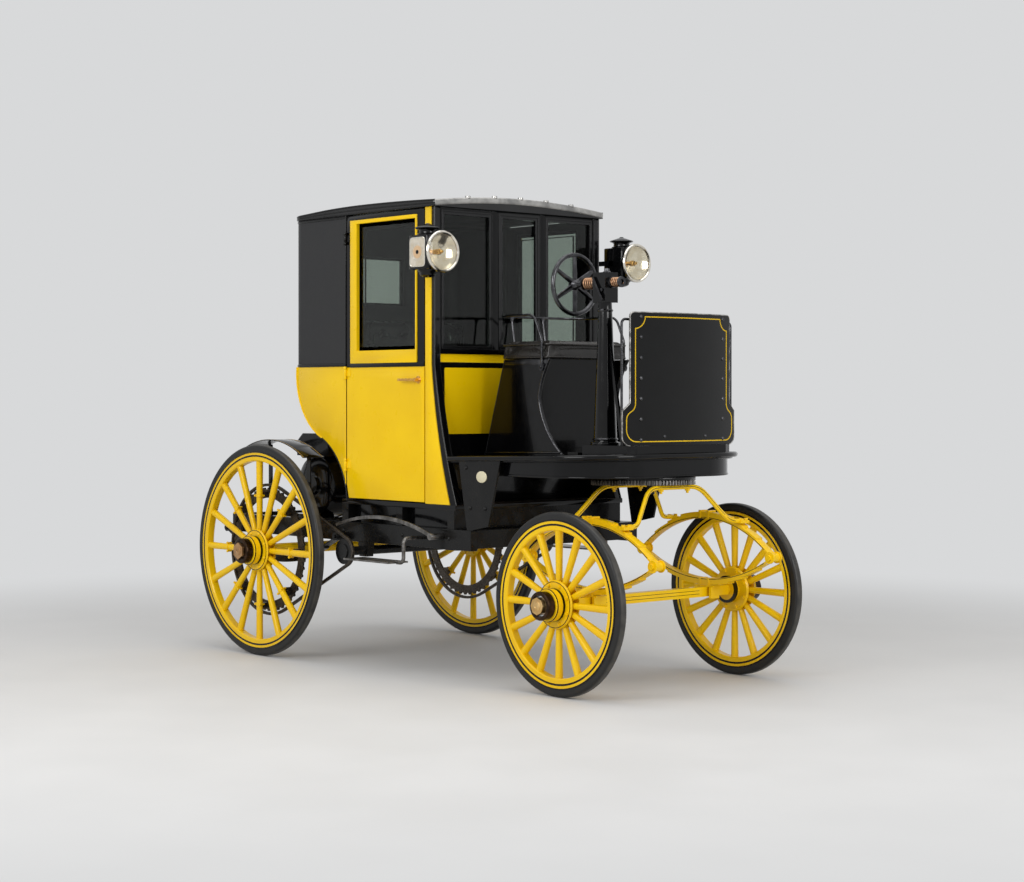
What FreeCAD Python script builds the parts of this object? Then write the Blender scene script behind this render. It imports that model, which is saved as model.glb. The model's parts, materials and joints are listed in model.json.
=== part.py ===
import FreeCAD, Part
import Sketcher
import math
import os

# A battery-electric taxi cab of the 1890s: a closed two-passenger body on carriage wheels,
# a driver's platform in front, and a fore-carriage that turns on a toothed turntable.
# Millimetres. +X is ahead, +Y is the vehicle's left, +Z is up. The origin is on the ground,
# half-way between the foremost and the rearmost point. Places along X are kept as distances
# ahead of the rear axle and turned into X by ahead(); heights in the body are kept above the
# floor's underside and turned into Z by up().

V = FreeCAD.Vector

SIZES = [
    # alias, value, meaning
    ("wheelbase", 2089, "rear axle to front axle"),
    ("rear_tyre_r", 535, "rear tyre's outer radius"),
    ("front_tyre_r", 405.6, "front tyre's outer radius"),
    ("tyre_deep", 35, "tyre, from the felloe to the tread"),
    ("tyre_wide", 44, "tyre across"),
    ("tyre_round", 15, "tyre's shoulder radius"),
    ("felloe_deep", 48, "wooden rim, radially"),
    ("felloe_wide", 45, "wooden rim, across"),
    ("rear_wheel_y", 713, "middle of the rear rims"),
    ("front_wheel_y", 566, "middle of the front rims"),
    ("spoke_r", 18, "spoke's radius at the felloe"),
    ("spoke_foot_r", 14, "spoke's radius at the hub"),
    ("spoke_count", 16, "spokes in a wheel"),
    ("hub_flange_r", 107, "bolted hub flange"),
    ("hub_flange_t", 10, "hub flange's thickness"),
    ("hub_r", 72, "hub barrel"),
    ("hub_reach", 78, "barrel's end from the rim's middle"),
    ("hub_back", 62, "hub's inner end from the rim's middle"),
    ("collar_r", 61, "black collar round the axle nut"),
    ("collar_long", 42, "collar beyond the barrel"),
    ("nut_r", 38, "axle nut"),
    ("nut_long", 18, "axle nut beyond the collar"),
    ("arm_r", 24, "axle arm"),
    ("running_gap", 0.08, "radial clearance of a shaft in its bore"),
    ("seat_gap", 0.3, "between soft parts and what carries them"),
    ("swing_gap", 7, "between a door and its frame"),
    ("hub_front_gap", 6, "between a hub's back and the beam"),
    ("chain_ring_r", 315, "driven chain ring"),
    ("chain_ring_deep", 52, "chain ring, radially"),
    ("chain_ring_t", 12, "chain ring's thickness"),
    ("sprocket_teeth", 48, "teeth of the driven chain ring"),
    ("chain_y", 655, "chain line"),
    ("counter_ahead", 640, "countershaft"),
    ("counter_down", 40, "countershaft below the side rails"),
    ("pinion_r", 62, "countershaft's chain pinion"),
    ("chain_t", 14, "chain, radially"),
    ("chain_wide", 16, "chain across"),
    ("cab_half", 540, "half the body's width"),
    ("wall", 30, "side wall's thickness"),
    ("panel", 24, "front and back panels' thickness"),
    ("cab_back", 45, "back of the leather quarters"),
    ("corner_r", 75, "rounded back corners"),
    ("waist_back", 83, "back of the yellow panel at the waist"),
    ("door_back", 509, "door's hinge edge"),
    ("door_front", 1118, "door's lock edge"),
    ("cab_front", 1183, "front panel's outer face"),
    ("floor_up", 185, "floor's underside above the side rails' underside"),
    ("floor_t", 22, "floor boards"),
    ("window_back", 595, "door window's rear edge"),
    ("window_front", 1056, "door window's front edge"),
    ("window_up", 755, "windows' lower edge above the floor"),
    ("window_tall", 625, "door window's height"),
    ("bead", 6, "how far frames and mouldings stand out"),
    ("waist_up", 680, "waist line above the floor"),
    ("eaves_up", 1428, "underside of the roof above the floor"),
    ("rail_up", 65, "underside of the side rails above the rear axle"),
    ("rail_high", 95, "side rail's depth"),
    ("rail_wide", 40, "side rail's width"),
    ("rail_front", 1460, "front end of the side rails"),
    ("rail_back", -505, "rear end of the side rails"),
    ("nose", 211, "front of the driver's platform ahead of the front axle"),
    ("board_back", 1188, "back of the driver's platform"),
    ("board_up", 246, "platform's top at its back above the floor"),
    ("board_rise", 29, "how much the platform rises to the front"),
    ("board_t", 20, "platform's thickness"),
    ("board_r", 330, "platform's front corners"),
    ("valance_in", 50, "valance's set-back from the platform's edge"),
    ("valance_up", 167, "valance's lower edge above the floor"),
    ("valance_t", 6, "valance plate"),
    ("ring_r", 205, "turntable plate"),
    ("ring_t", 12, "turntable plate's thickness"),
    ("gear_t", 22, "toothed ring's thickness"),
    ("tooth_module", 5, "steering gear's pitch diameter for each tooth"),
    ("gear_teeth", 80, "teeth of the turntable gear"),
    ("pinion_teeth", 24, "teeth of the steering pinion"),
    ("king_r", 18, "king pin"),
    ("dash_in", 10, "dash's front face behind the platform's front"),
    ("dash_t", 20, "dash's thickness"),
    ("dash_half", 318, "half the dash's width"),
    ("dash_ear", 40, "how far the dash's ears stand out"),
    ("dash_up", 313, "dash's lower edge above the floor"),
    ("dash_high", 588, "dash's height"),
    ("column_back", 29, "steering column behind the front axle"),
    ("pinion_shaft_r", 12, "steering pinion's shaft"),
    ("column_foot_r", 53, "column's radius at the foot"),
    ("column_top_r", 30, "column's radius at the top"),
    ("column_up", 950, "top of the tapered column above the floor"),
    ("shaft_up", 1040, "handwheel shaft above the floor"),
    ("handwheel_back", 200, "handwheel's plane behind the column"),
    ("handwheel_r", 145, "handwheel"),
    ("seat_half", 260, "half the driver's seat's width"),
    ("seat_up", 705, "top of the driver's seat box above the floor"),
    ("cushion_t", 74, "driver's cushion"),
    ("rear_spring_half", 480, "rear spring, eye to middle"),
    ("spring_y", 375, "front springs"),
    ("spring_half", 409, "front spring, eye to middle"),
    ("spring_wide", 44, "spring leaf's width"),
    ("leaf_t", 7.5, "spring leaf's thickness"),
    ("eye_r", 20, "spring eye"),
    ("eye_up", 179.4, "front spring eyes above the axle"),
    ("cheek_r", 27, "shackle plates beside the spring eyes"),
    ("foot_share", 0.55, "iron's foot, as a share of the spring's half"),
    ("spring_low_up", 61.4, "middle of the lower leaf above the axle"),
    ("spring_high_up", 341.4, "middle of the upper leaf above the axle"),
    ("axle_high", 45, "front axle beam"),
    ("lamp_ahead", 1360, "lamp's lens"),
    ("lamp_out", 90, "lamp's middle outside the body's side"),
    ("lamp_up", 1200, "lamp's middle above the floor"),
    ("lens_r", 97, "lamp's front ring"),
]


class Size:
    """A number that remembers the sheet formula it came from."""

    def __init__(self, value, formula=None):
        self.value = float(value)
        self.formula = formula or f"{self.value:.9g}"

    def _with(self, sign, other, swapped=False):
        other = size(other)
        a, b = (other, self) if swapped else (self, other)
        number = {"+": lambda: a.value + b.value, "-": lambda: a.value - b.value,
                  "*": lambda: a.value * b.value, "/": lambda: a.value / b.value}[sign]()
        return Size(number, f"({a.formula} {sign} {b.formula})")

    def __add__(self, other):
        return self._with("+", other)

    def __radd__(self, other):
        return self._with("+", other, True)

    def __sub__(self, other):
        return self._with("-", other)

    def __rsub__(self, other):
        return self._with("-", other, True)

    def __mul__(self, other):
        return self._with("*", other)

    def __rmul__(self, other):
        return self._with("*", other, True)

    def __truediv__(self, other):
        return self._with("/", other)

    def __neg__(self):
        return Size(0.0)._with("-", self)

    def __float__(self):
        return self.value


def size(number):
    return number if isinstance(number, Size) else Size(number)


def root(number):
    number = size(number)
    return Size(math.sqrt(number.value), f"sqrt({number.formula})")


doc = FreeCAD.newDocument("taxi_cab")
sheet = doc.addObject("Spreadsheet::Sheet", "Sizes")
for row, (alias, value, meaning) in enumerate(SIZES, 1):
    sheet.set(f"A{row}", meaning)
    sheet.set(f"B{row}", f"{value}")
    sheet.setAlias(f"B{row}", alias)
doc.recompute()


class Named:
    pass


s = Named()
for alias, value, meaning in SIZES:
    setattr(s, alias, Size(value, f"Sizes.{alias}"))

nodes = []


# ---------------------------------------------------------------- making shapes

def bind(thing, prop, number):
    thing.setExpression(prop, size(number).formula)


def body(label, x=0, y=0, z=0, half_turn=False, turned=0.0):
    """A new sub-part, its own origin at x, y, z, and turned round for the other side."""
    made = doc.addObject("PartDesign::Body", label)
    made.Label = label
    made.AllowCompound = True
    facing = 180.0 if half_turn else turned
    made.Placement = FreeCAD.Placement(V(), FreeCAD.Rotation(V(0, 0, 1), facing))
    for axis, number in zip("xyz", (x, y, z)):
        bind(made, f"Placement.Base.{axis}", number)
    nodes.append(made)
    return made


def origin_part(made, role):
    return next(one for one in made.Origin.OriginFeatures if one.Role == role)


def draw(made, plane, out, loops):
    """A sketch on one of the body's planes, `out` along the axis that the plane lacks.
    A loop is a list of corners (u, v), or (u, v, radius) where an arc arrives there:
    a positive radius bulges to the right of the way. A loop of one row is a circle."""
    role, sign = {"XY": ("XY_Plane", 1), "XZ": ("XZ_Plane", -1), "YZ": ("YZ_Plane", 1)}[plane]
    sk = made.newObject("Sketcher::SketchObject", "outline")
    sk.AttachmentSupport = [(origin_part(made, role), "")]
    sk.MapMode = "FlatFace"
    bind(sk, "AttachmentOffset.Base.z", size(out) * sign)
    for loop in loops:
        if len(loop) == 1:
            u, v, r = loop[0]
            at = sk.addGeometry(Part.Circle(V(float(u), float(v), 0), V(0, 0, 1), float(r)))
            fix_point(sk, at, 3, u, v)
            fix_radius(sk, at, r)
            continue
        first = sk.GeometryCount
        count = len(loop)
        ends = []
        for i in range(count):
            a, b = loop[i], loop[(i + 1) % count]
            start, stop = V(float(a[0]), float(a[1]), 0), V(float(b[0]), float(b[1]), 0)
            if len(b) == 2:
                sk.addGeometry(Part.LineSegment(start, stop))
                ends.append((1, 2))
                continue
            bulge = float(b[2])
            chord = stop - start
            side = V(chord.y, -chord.x, 0).normalize() * (1 if bulge > 0 else -1)
            reach = abs(bulge) - math.sqrt(bulge ** 2 - (chord.Length / 2) ** 2)
            middle = (start + stop) * 0.5 + side * reach
            if bulge > 0:
                at = sk.addGeometry(Part.ArcOfCircle(start, middle, stop))
                ends.append((1, 2))
            else:
                at = sk.addGeometry(Part.ArcOfCircle(stop, middle, start))
                ends.append((2, 1))
            fix_radius(sk, at, size(b[2]) * (1 if bulge > 0 else -1))
        for i in range(count):
            sk.addConstraint(Sketcher.Constraint("Coincident", first + i, ends[i][1],
                                                 first + (i + 1) % count, ends[(i + 1) % count][0]))
            fix_point(sk, first + i, ends[i][0], loop[i][0], loop[i][1])
    return sk


def fix_radius(sk, edge, r):
    at = sk.addConstraint(Sketcher.Constraint("Radius", edge, float(r)))
    bind(sk, f"Constraints[{at}]", r)


def fix_point(sk, edge, end, u, v):
    for kind, number in (("DistanceX", u), ("DistanceY", v)):
        at = sk.addConstraint(Sketcher.Constraint(kind, -1, 1, edge, end, float(number)))
        bind(sk, f"Constraints[{at}]", number)


def pad(made, plane, loops, low, high):
    """Material between low and high along the axis that the plane lacks."""
    out = high if plane == "XZ" else low
    feature = made.newObject("PartDesign::Pad", "pad")
    feature.Profile = draw(made, plane, out, loops)
    bind(feature, "Length", size(high) - low)
    made.Tip = feature
    return feature


def cut(made, plane, loops, low, high):
    """A hole between low and high along the axis that the plane lacks."""
    doc.recompute()
    before = made.Shape.Volume
    out = low if plane == "XZ" else high
    feature = made.newObject("PartDesign::Pocket", "pocket")
    feature.Profile = draw(made, plane, out, loops)
    bind(feature, "Length", size(high) - low)
    made.Tip = feature
    doc.recompute()
    if not before - made.Shape.Volume > 1:
        raise RuntimeError(f"{made.Label}: a pocket cut nothing")
    return feature


def turn(made, plane, loop, axis):
    """A solid turned about the sketch's H_Axis or V_Axis, which the loop doesn't cross."""
    feature = made.newObject("PartDesign::Revolution", "turned")
    feature.Profile = draw(made, plane, 0, [loop])
    feature.ReferenceAxis = (feature.Profile[0], [axis])
    feature.Angle = 360
    made.Tip = feature
    return feature


def around(made, feature, axis, count):
    """The feature repeated count times round one of the body's own axes."""
    pattern = made.newObject("PartDesign::PolarPattern", "around")
    pattern.Originals = [feature]
    pattern.Axis = (origin_part(made, axis), [""])
    pattern.Angle = 360
    bind(pattern, "Occurrences", count)
    made.Tip = pattern
    return pattern


def box(u0, u1, v0, v1):
    return [(u0, v0), (u1, v0), (u1, v1), (u0, v1)]


def pair(sign, near, far):
    """The two distances from the middle line, on the side that sign gives, low one first."""
    return sorted((size(near) * sign, size(far) * sign), key=float)


def disc(u, v, r):
    return [(u, v, r)]


def own(label, shape):
    """A sub-part whose shape is set from Part's own functions."""
    made = doc.addObject("Part::Feature", label)
    made.Label = label
    made.Shape = shape
    nodes.append(made)
    return made


def rod(points, r, bends):
    """A round bar along straight runs, with an arc of its own radius at each corner."""
    spots = [V(*(float(n) for n in p)) for p in points]
    edges, start = [], spots[0]
    for i in range(1, len(spots) - 1):
        to_last = (spots[i - 1] - spots[i]).normalize()
        to_next = (spots[i + 1] - spots[i]).normalize()
        half = to_last.getAngle(to_next) / 2
        bend = bends[i - 1]
        back = bend / math.tan(half)
        one, two = spots[i] + to_last * back, spots[i] + to_next * back
        middle = (to_last + to_next).normalize()
        top = spots[i] + middle * (bend / math.sin(half) - bend)
        edges.append(Part.LineSegment(start, one).toShape())
        edges.append(Part.Arc(one, top, two).toShape())
        start = two
    edges.append(Part.LineSegment(start, spots[-1]).toShape())
    ring = Part.Wire(Part.Circle(spots[0], spots[1] - spots[0], r).toShape())
    return Part.Wire(edges).makePipeShell([ring], True, True)


# ---------------------------------------------------------------- places

front_reach = s.spring_half + s.cheek_r
rear_x = -(s.wheelbase + front_reach - s.rear_tyre_r) / 2


def ahead(distance):
    return rear_x + distance


rail_z = s.rear_tyre_r + s.rail_up
rail_top = rail_z + s.rail_high
floor_z = rail_z + s.floor_up


def up(distance):
    return floor_z + distance


floor_top = up(s.floor_t)
waist_z = up(s.waist_up)
eaves_z = up(s.eaves_up)
window_low = up(s.window_up)
window_high = window_low + s.window_tall
seat_z = up(s.seat_up)
valance_z = up(s.valance_up)
front_x = ahead(s.wheelbase)
board_front = s.wheelbase + s.nose
dash_front = board_front - s.dash_in
dash_low = up(s.dash_up)
inner_rail = s.cab_half - s.rail_wide
inside = s.cab_half - s.wall
board_slope = s.board_rise / (board_front - s.board_back)
SIDES = (("right", -1), ("left", 1))


def board_top(distance):
    """The platform's upper face, that far ahead of the rear axle."""
    return up(s.board_up) + board_slope * (size(distance) - s.board_back)


# The steering pinion stands where its pitch circle touches the turntable gear's.
gear_pitch_r = s.tooth_module * s.gear_teeth / 2
pinion_pitch_r = s.tooth_module * s.pinion_teeth / 2
centres = gear_pitch_r + pinion_pitch_r
column_ahead = s.wheelbase - s.column_back
column_y = -root(centres * centres - s.column_back * s.column_back)
mesh_angle = math.degrees(math.atan2(float(column_y), -float(s.column_back)))

# ---------------------------------------------------------------- teeth

PRESSURE = math.radians(20)
ADDENDUM = 0.88
DEDENDUM = 1.2
SLACK = 0.12


def involute(angle):
    return math.tan(angle) - angle


def tooth(teeth, root_in):
    """One gear tooth about the X axis, its flanks arcs with the involute's own curvature."""
    count = teeth.value
    pitch = count / 2
    base = pitch * math.cos(PRESSURE)
    half_at_pitch = (math.pi / 2 - SLACK) / count

    def edge(r):
        spread = involute(PRESSURE) - involute(math.acos(min(1.0, base / r)))
        return r, half_at_pitch + spread

    def spot(r, angle, sign=1):
        return s.tooth_module * (r * math.cos(angle)), s.tooth_module * (r * math.sin(angle) * sign)

    foot, tip = edge(max(pitch - DEDENDUM, base)), edge(pitch + ADDENDUM)
    bend = s.tooth_module * (pitch * math.sin(PRESSURE))
    start = (pitch - DEDENDUM - root_in, foot[1])
    return [spot(*start, -1), spot(*foot, -1), (*spot(*tip, -1), bend), spot(*tip), (*spot(*foot), bend),
            spot(*start)]


def gear_blank_r(teeth):
    return s.tooth_module * (teeth / 2 - DEDENDUM)

# ---------------------------------------------------------------- wheels

FELLOE_ROUND = 5
HUB_LIP = 6
SPOKE_ROOT = 4


def wheel(label, x, y, tyre_r, hub_back, left):
    """Felloe, spokes and hub, with the tyre and the axle cap as pieces of their own."""
    rim_r = tyre_r - s.tyre_deep
    felloe_in = rim_r - s.felloe_deep
    half = s.felloe_wide / 2
    place = dict(x=x, y=y, z=tyre_r, half_turn=not left)
    wood = body(f"{label}_wheel", **place)
    bore = s.arm_r + s.running_gap
    turn(wood, "YZ", [(-half, felloe_in + FELLOE_ROUND), (-half + FELLOE_ROUND, felloe_in),
                      (half - FELLOE_ROUND, felloe_in), (half, felloe_in + FELLOE_ROUND),
                      (half, rim_r), (-half, rim_r)], "H_Axis")
    flange = half * 0.9
    plate = flange + s.hub_flange_t
    back_r = s.hub_r * 0.8
    turn(wood, "YZ", [(-hub_back, bore), (s.hub_reach, bore), (s.hub_reach, s.hub_r - SPOKE_ROOT),
                      (s.hub_reach - HUB_LIP, s.hub_r), (plate, s.hub_r),
                      (plate, s.hub_flange_r - HUB_LIP), (flange, s.hub_flange_r),
                      (flange, s.hub_r), (-flange, s.hub_r), (-flange, s.hub_flange_r),
                      (-plate, s.hub_flange_r - HUB_LIP), (-plate, back_r), (-hub_back, back_r)], "H_Axis")
    spoke = wood.newObject("PartDesign::Pad", "spoke")
    spoke.Profile = draw(wood, "XY", s.hub_r - SPOKE_ROOT, [disc(0, 0, s.spoke_foot_r)])
    length = felloe_in + FELLOE_ROUND - (s.hub_r - SPOKE_ROOT)
    bind(spoke, "Length", length)
    spread = (s.spoke_r - s.spoke_foot_r) / length
    taper = Size(math.degrees(math.atan(spread.value)), f"atan({spread.formula})")
    bind(spoke, "TaperAngle", taper)
    around(wood, spoke, "Y_Axis", s.spoke_count)
    tyre = body(f"{label}_tyre", **place)
    side, shoulder = s.tyre_wide / 2, s.tyre_round
    turn(tyre, "YZ", [(-side, rim_r), (side, rim_r), (side, tyre_r - shoulder),
                      (side - shoulder, tyre_r, shoulder), (-side + shoulder, tyre_r),
                      (-side, tyre_r - shoulder, shoulder)], "H_Axis")
    axle_cap(label, place, bore)


def axle_cap(label, place, bore):
    """The collar round the axle nut, with the nut standing in it."""
    cap = body(f"{label}_axle_cap", **place)
    arm_room, round_edge, groove, groove_deep, nut_edge = 6, 4, 7, 14, 3
    lip = s.hub_reach + s.collar_long
    end = s.hub_reach + arm_room
    tip = lip + s.nut_long
    turn(cap, "YZ", [(end, 0), (end, bore), (s.hub_reach, bore), (s.hub_reach, s.collar_r),
                     (lip - round_edge, s.collar_r), (lip, s.collar_r - round_edge),
                     (lip, s.nut_r + groove), (lip - groove_deep, s.nut_r + groove),
                     (lip - groove_deep, s.nut_r), (tip - nut_edge, s.nut_r),
                     (tip, s.nut_r - nut_edge), (tip, 0)], "H_Axis")


rear_hub_back = s.hub_back - 20
ring_half = s.chain_ring_t / 2
ring_tooth, ring_tooth_foot, ring_tooth_tip = 9, 11, 5
clamp_long, clamp_in = 26, 6
for side, sign in SIDES:
    left = sign > 0
    wheel(f"front_{side}", front_x, s.front_wheel_y * sign, s.front_tyre_r, s.hub_back, left)
    wheel(f"rear_{side}", rear_x, s.rear_wheel_y * sign, s.rear_tyre_r, rear_hub_back, left)
    ring = body(f"{side}_chain_ring", x=rear_x, y=s.chain_y * sign, z=s.rear_tyre_r, half_turn=not left)
    ring_in = s.chain_ring_r - s.chain_ring_deep
    ring_root = s.chain_ring_r - ring_tooth
    turn(ring, "YZ", [(-ring_half, ring_in), (ring_half, ring_in), (ring_half, ring_root),
                      (-ring_half, ring_root)], "H_Axis")
    tip = pad(ring, "XZ", [[(-ring_tooth_foot, ring_root - 3), (ring_tooth_foot, ring_root - 3),
                            (ring_tooth_tip, s.chain_ring_r), (-ring_tooth_tip, s.chain_ring_r)]],
              -ring_half, ring_half)
    around(ring, tip, "Y_Axis", s.sprocket_teeth)
    clip_r = ring_in + clamp_in
    clip = pad(ring, "XZ", [box(-s.spoke_r, s.spoke_r, clip_r, clip_r + clamp_long)],
               ring_half - 1, s.rear_wheel_y - s.chain_y - s.spoke_r + 1)
    around(ring, clip, "Y_Axis", s.spoke_count / 2)


# ---------------------------------------------------------------- running gear, rear

LEAVES = 4
LEAF_STEP = 0.21


def leaf_pack(made, x, y_low, y_high, eye_z, middle_z, half):
    """One bank of curved leaves. The master leaf reaches the eyes, shorter ones lie behind it."""
    rise = size(eye_z) - middle_z
    way = 1 if rise.value > 0 else -1
    bow = rise * way
    master = (half * half + bow * bow) / (bow * 2)
    centre = middle_z + master * way
    for i in range(LEAVES):
        reach = half * (1 - LEAF_STEP * i)
        inner = master + s.leaf_t * i
        outer = inner + s.leaf_t
        near = centre - root(inner * inner - reach * reach) * way
        far = centre - root(outer * outer - reach * reach) * way
        pad(made, "XZ", [[(x - reach, near, inner * -way), (x - reach, far), (x + reach, far, outer * way),
                          (x + reach, near)]], y_low, y_high)


def spring_eyes(made, x, y_low, y_high, eye_z, half):
    """The rolled eyes at both ends, with a shackle plate on each side and a bolt through."""
    plate_t, bolt_r, bolt_out = 6, 12, 14
    for end in (-1, 1):
        at = x + half * end
        pad(made, "XZ", [disc(at, eye_z, s.eye_r)], y_low, y_high)
        pad(made, "XZ", [disc(at, eye_z, s.cheek_r)], y_low - plate_t, y_low)
        pad(made, "XZ", [disc(at, eye_z, s.cheek_r)], y_high, y_high + plate_t)
        pad(made, "XZ", [disc(at, eye_z, bolt_r)], y_low - bolt_out, y_high + bolt_out)


rails = body("side_rails")
for side, sign in SIDES:
    pad(rails, "XZ", [box(ahead(s.rail_back), ahead(s.rail_front), rail_z, rail_top)],
        *pair(sign, inner_rail, s.cab_half))

rear_axle = body("rear_axle", x=rear_x, z=s.rear_tyre_r)
rear_beam = s.rear_wheel_y - rear_hub_back - s.hub_front_gap
rear_arm = s.rear_wheel_y + s.hub_reach + 5
beam_r = s.arm_r + 4
turn(rear_axle, "YZ", [(-rear_arm, 0), (-rear_arm, s.arm_r), (-rear_beam, s.arm_r), (-rear_beam, beam_r),
                       (rear_beam, beam_r), (rear_beam, s.arm_r), (rear_arm, s.arm_r), (rear_arm, 0)],
     "H_Axis")

rear_springs = body("rear_springs")
rear_spring_in = s.cab_half + 12
rear_spring_out = rear_spring_in + s.spring_wide
rear_eye_z, axle_top = rail_z + 22, s.rear_tyre_r - s.arm_r
rear_leaf_z = axle_top - 12
shackle_pin_r, saddle_half, saddle_deep = 9, 40, 20
for side, sign in SIDES:
    span = pair(sign, rear_spring_in, rear_spring_out)
    leaf_pack(rear_springs, rear_x, *span, rear_eye_z, rear_leaf_z, s.rear_spring_half)
    for end in (-1, 1):
        at = rear_x + s.rear_spring_half * end
        pad(rear_springs, "XZ", [disc(at, rear_eye_z, s.eye_r)], *span)
        pad(rear_springs, "XZ", [disc(at, rear_eye_z, shackle_pin_r)],
            *pair(sign, s.cab_half, rear_spring_out + 8))
    pad(rear_springs, "XZ", [box(rear_x - saddle_half, rear_x + saddle_half, axle_top - saddle_deep,
                                 axle_top - beam_r + s.arm_r)], *span)

motor = body("motor", x=ahead(95), z=rail_top + 165)
drum_r, drum_half, bell, boss_r = 165, 400, 460, 48
turn(motor, "YZ", [(-bell, 0), (-bell, boss_r), (-bell + 16, boss_r + 4), (-bell + 20, 118), (-430, 150),
                   (-drum_half, drum_r), (drum_half, drum_r), (430, 150), (bell - 20, 118),
                   (bell - 16, boss_r + 4), (bell, boss_r), (bell, 0)], "H_Axis")
rib_half, rib_out = 7, 5
for at in (-300, -150, 150, 300):
    pad(motor, "XZ", [disc(0, 0, drum_r + rib_out)], at - rib_half, at + rib_half)
foot_top = 145
for side, sign in SIDES:
    pad(motor, "XZ", [box(-90, 90, -drum_r, -foot_top)], *pair(sign, 380, inner_rail + 18))
cover_half, cover_low = 430, 150
pad(motor, "XZ", [[(-165, cover_low), (115, cover_low), (95, 230), (25, 265), (-115, 265), (-165, 225)]],
    -cover_half, cover_half)
pad(motor, "XZ", [box(-60, 60, 120, cover_low + 10)], -380, 380)

counter_z = rail_z - s.counter_down
counter = body("countershaft", x=ahead(s.counter_ahead), z=counter_z)
half = s.chain_wide / 2
shaft_r, web = 22, 2
hub_out, wheel_out, wheel_in = s.chain_y + half + 4, s.chain_y + half - web, s.chain_y - half + web
small_r = s.pinion_r * 0.6
turn(counter, "YZ", [(-hub_out, 0), (-hub_out, small_r), (-wheel_out, small_r), (-wheel_out, s.pinion_r),
                     (-wheel_in, s.pinion_r), (-wheel_in, shaft_r), (wheel_in, shaft_r),
                     (wheel_in, s.pinion_r), (wheel_out, s.pinion_r), (wheel_out, small_r),
                     (hub_out, small_r), (hub_out, 0)], "H_Axis")
bearing_top, bearing_foot = 40, 30
for side, sign in SIDES:
    pad(counter, "XZ", [[(-bearing_top, s.counter_down), (-bearing_foot, -bearing_foot),
                         (bearing_foot, -bearing_foot), (bearing_top, s.counter_down)]],
        *pair(sign, inner_rail, s.cab_half))

chains = body("drive_chains")
ring_out = s.chain_ring_r + s.swing_gap
pinion_out = s.pinion_r + s.seat_gap
drop = float(counter_z) - float(s.rear_tyre_r)
tilt = math.atan2(drop, float(s.counter_ahead))
lean = math.acos(float(ring_out - pinion_out) / math.hypot(drop, float(s.counter_ahead)))
upper, lower = tilt + lean, tilt - lean


def chain_line(extra):
    """The chain's line round both of its wheels, that far outside its inner side."""
    big, small = ring_out + extra, pinion_out + extra

    def by_ring(angle):
        return rear_x + big * math.cos(angle), s.rear_tyre_r + big * math.sin(angle)

    def by_pinion(angle):
        return ahead(s.counter_ahead) + small * math.cos(angle), counter_z + small * math.sin(angle)

    return [by_ring(upper), (*by_ring(tilt + math.pi), big), (*by_ring(lower), big), by_pinion(lower),
            (*by_pinion(upper), small)]


for side, sign in SIDES:
    middle = s.chain_y * sign
    pad(chains, "XZ", [chain_line(s.chain_t), chain_line(0)], middle - half, middle + half)

guards = body("rear_mudguards")
guard_in = s.rear_tyre_r + 22
guard_out = guard_in + 4
guard_from, guard_to = math.radians(58), math.radians(122)
stay_at, stay_half, stay_t = 170, 15, 6
stay_out = s.cab_half - 10
stay_top = s.rear_tyre_r + root(guard_in * guard_in - stay_at * stay_at)


def guard_edge(r, angle):
    return rear_x + r * math.cos(angle), s.rear_tyre_r + r * math.sin(angle)


for side, sign in SIDES:
    pad(guards, "XZ", [[guard_edge(guard_out, guard_from), (*guard_edge(guard_out, guard_to), guard_out),
                        guard_edge(guard_in, guard_to), (*guard_edge(guard_in, guard_from), -guard_in)]],
        *pair(sign, stay_out - stay_t, s.chain_y))
    for at in (-stay_at, stay_at):
        pad(guards, "XZ", [box(rear_x + at - stay_half, rear_x + at + stay_half, rail_top, stay_top)],
            *pair(sign, stay_out - stay_t, stay_out))

# ---------------------------------------------------------------- frame and battery

cross = body("cross_members")
cross_up = 10
for at, wide in ((s.rail_back, 40), (size(330), 50), (s.rail_front - 60, 60)):
    pad(cross, "XZ", [box(ahead(at), ahead(at + wide), rail_z + cross_up, rail_top)],
        -inner_rail, inner_rail)
bearer_wide = 50
for at in (470, 900, 1290):
    pad(cross, "XZ", [box(ahead(at), ahead(at + bearer_wide), rail_top, floor_z)], -s.cab_half, s.cab_half)

battery = body("battery_box")
battery_low = rail_z + 20
for back, front in ((540, 890), (960, 1280)):
    pad(battery, "XZ", [box(ahead(back), ahead(front), battery_low, floor_z)], -inner_rail, inner_rail)

hangers = body("hanger_plates")
hanger_t, hanger_toe = 12, 25
for side, sign in SIDES:
    pad(hangers, "XZ", [[(ahead(1372), board_top(1372) - s.board_t), (ahead(1430), rail_top),
                         (ahead(s.rail_front), rail_top), (ahead(1582), rail_top + hanger_toe),
                         (ahead(1665), board_top(1665) - s.board_t)]],
        *pair(sign, s.cab_half - hanger_t, s.cab_half))

step_z, tread_t, step_rod_r, step_bend = float(rail_z) - 72, 8, 9, 26
tread_back, tread_front, step_arm = 720, 1070, 1112
step_mid = float(s.cab_half) + 120
step_shapes = []
for side, sign in SIDES:
    tread = Part.makeBox(tread_front - tread_back, 120, tread_t,
                         V(float(ahead(tread_back)), step_mid * sign - 60, step_z))
    arm = rod([(ahead(tread_front - 8), step_mid * sign, step_z + 4),
               (ahead(step_arm), step_mid * sign, step_z + 4),
               (ahead(step_arm), step_mid * sign, float(rail_z) + 48),
               (ahead(step_arm), s.cab_half * sign, float(rail_z) + 48)], step_rod_r, [step_bend, step_bend])
    step_shapes.append(tread.fuse(arm).removeSplitter())
own("steps", Part.makeCompound(step_shapes))

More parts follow.
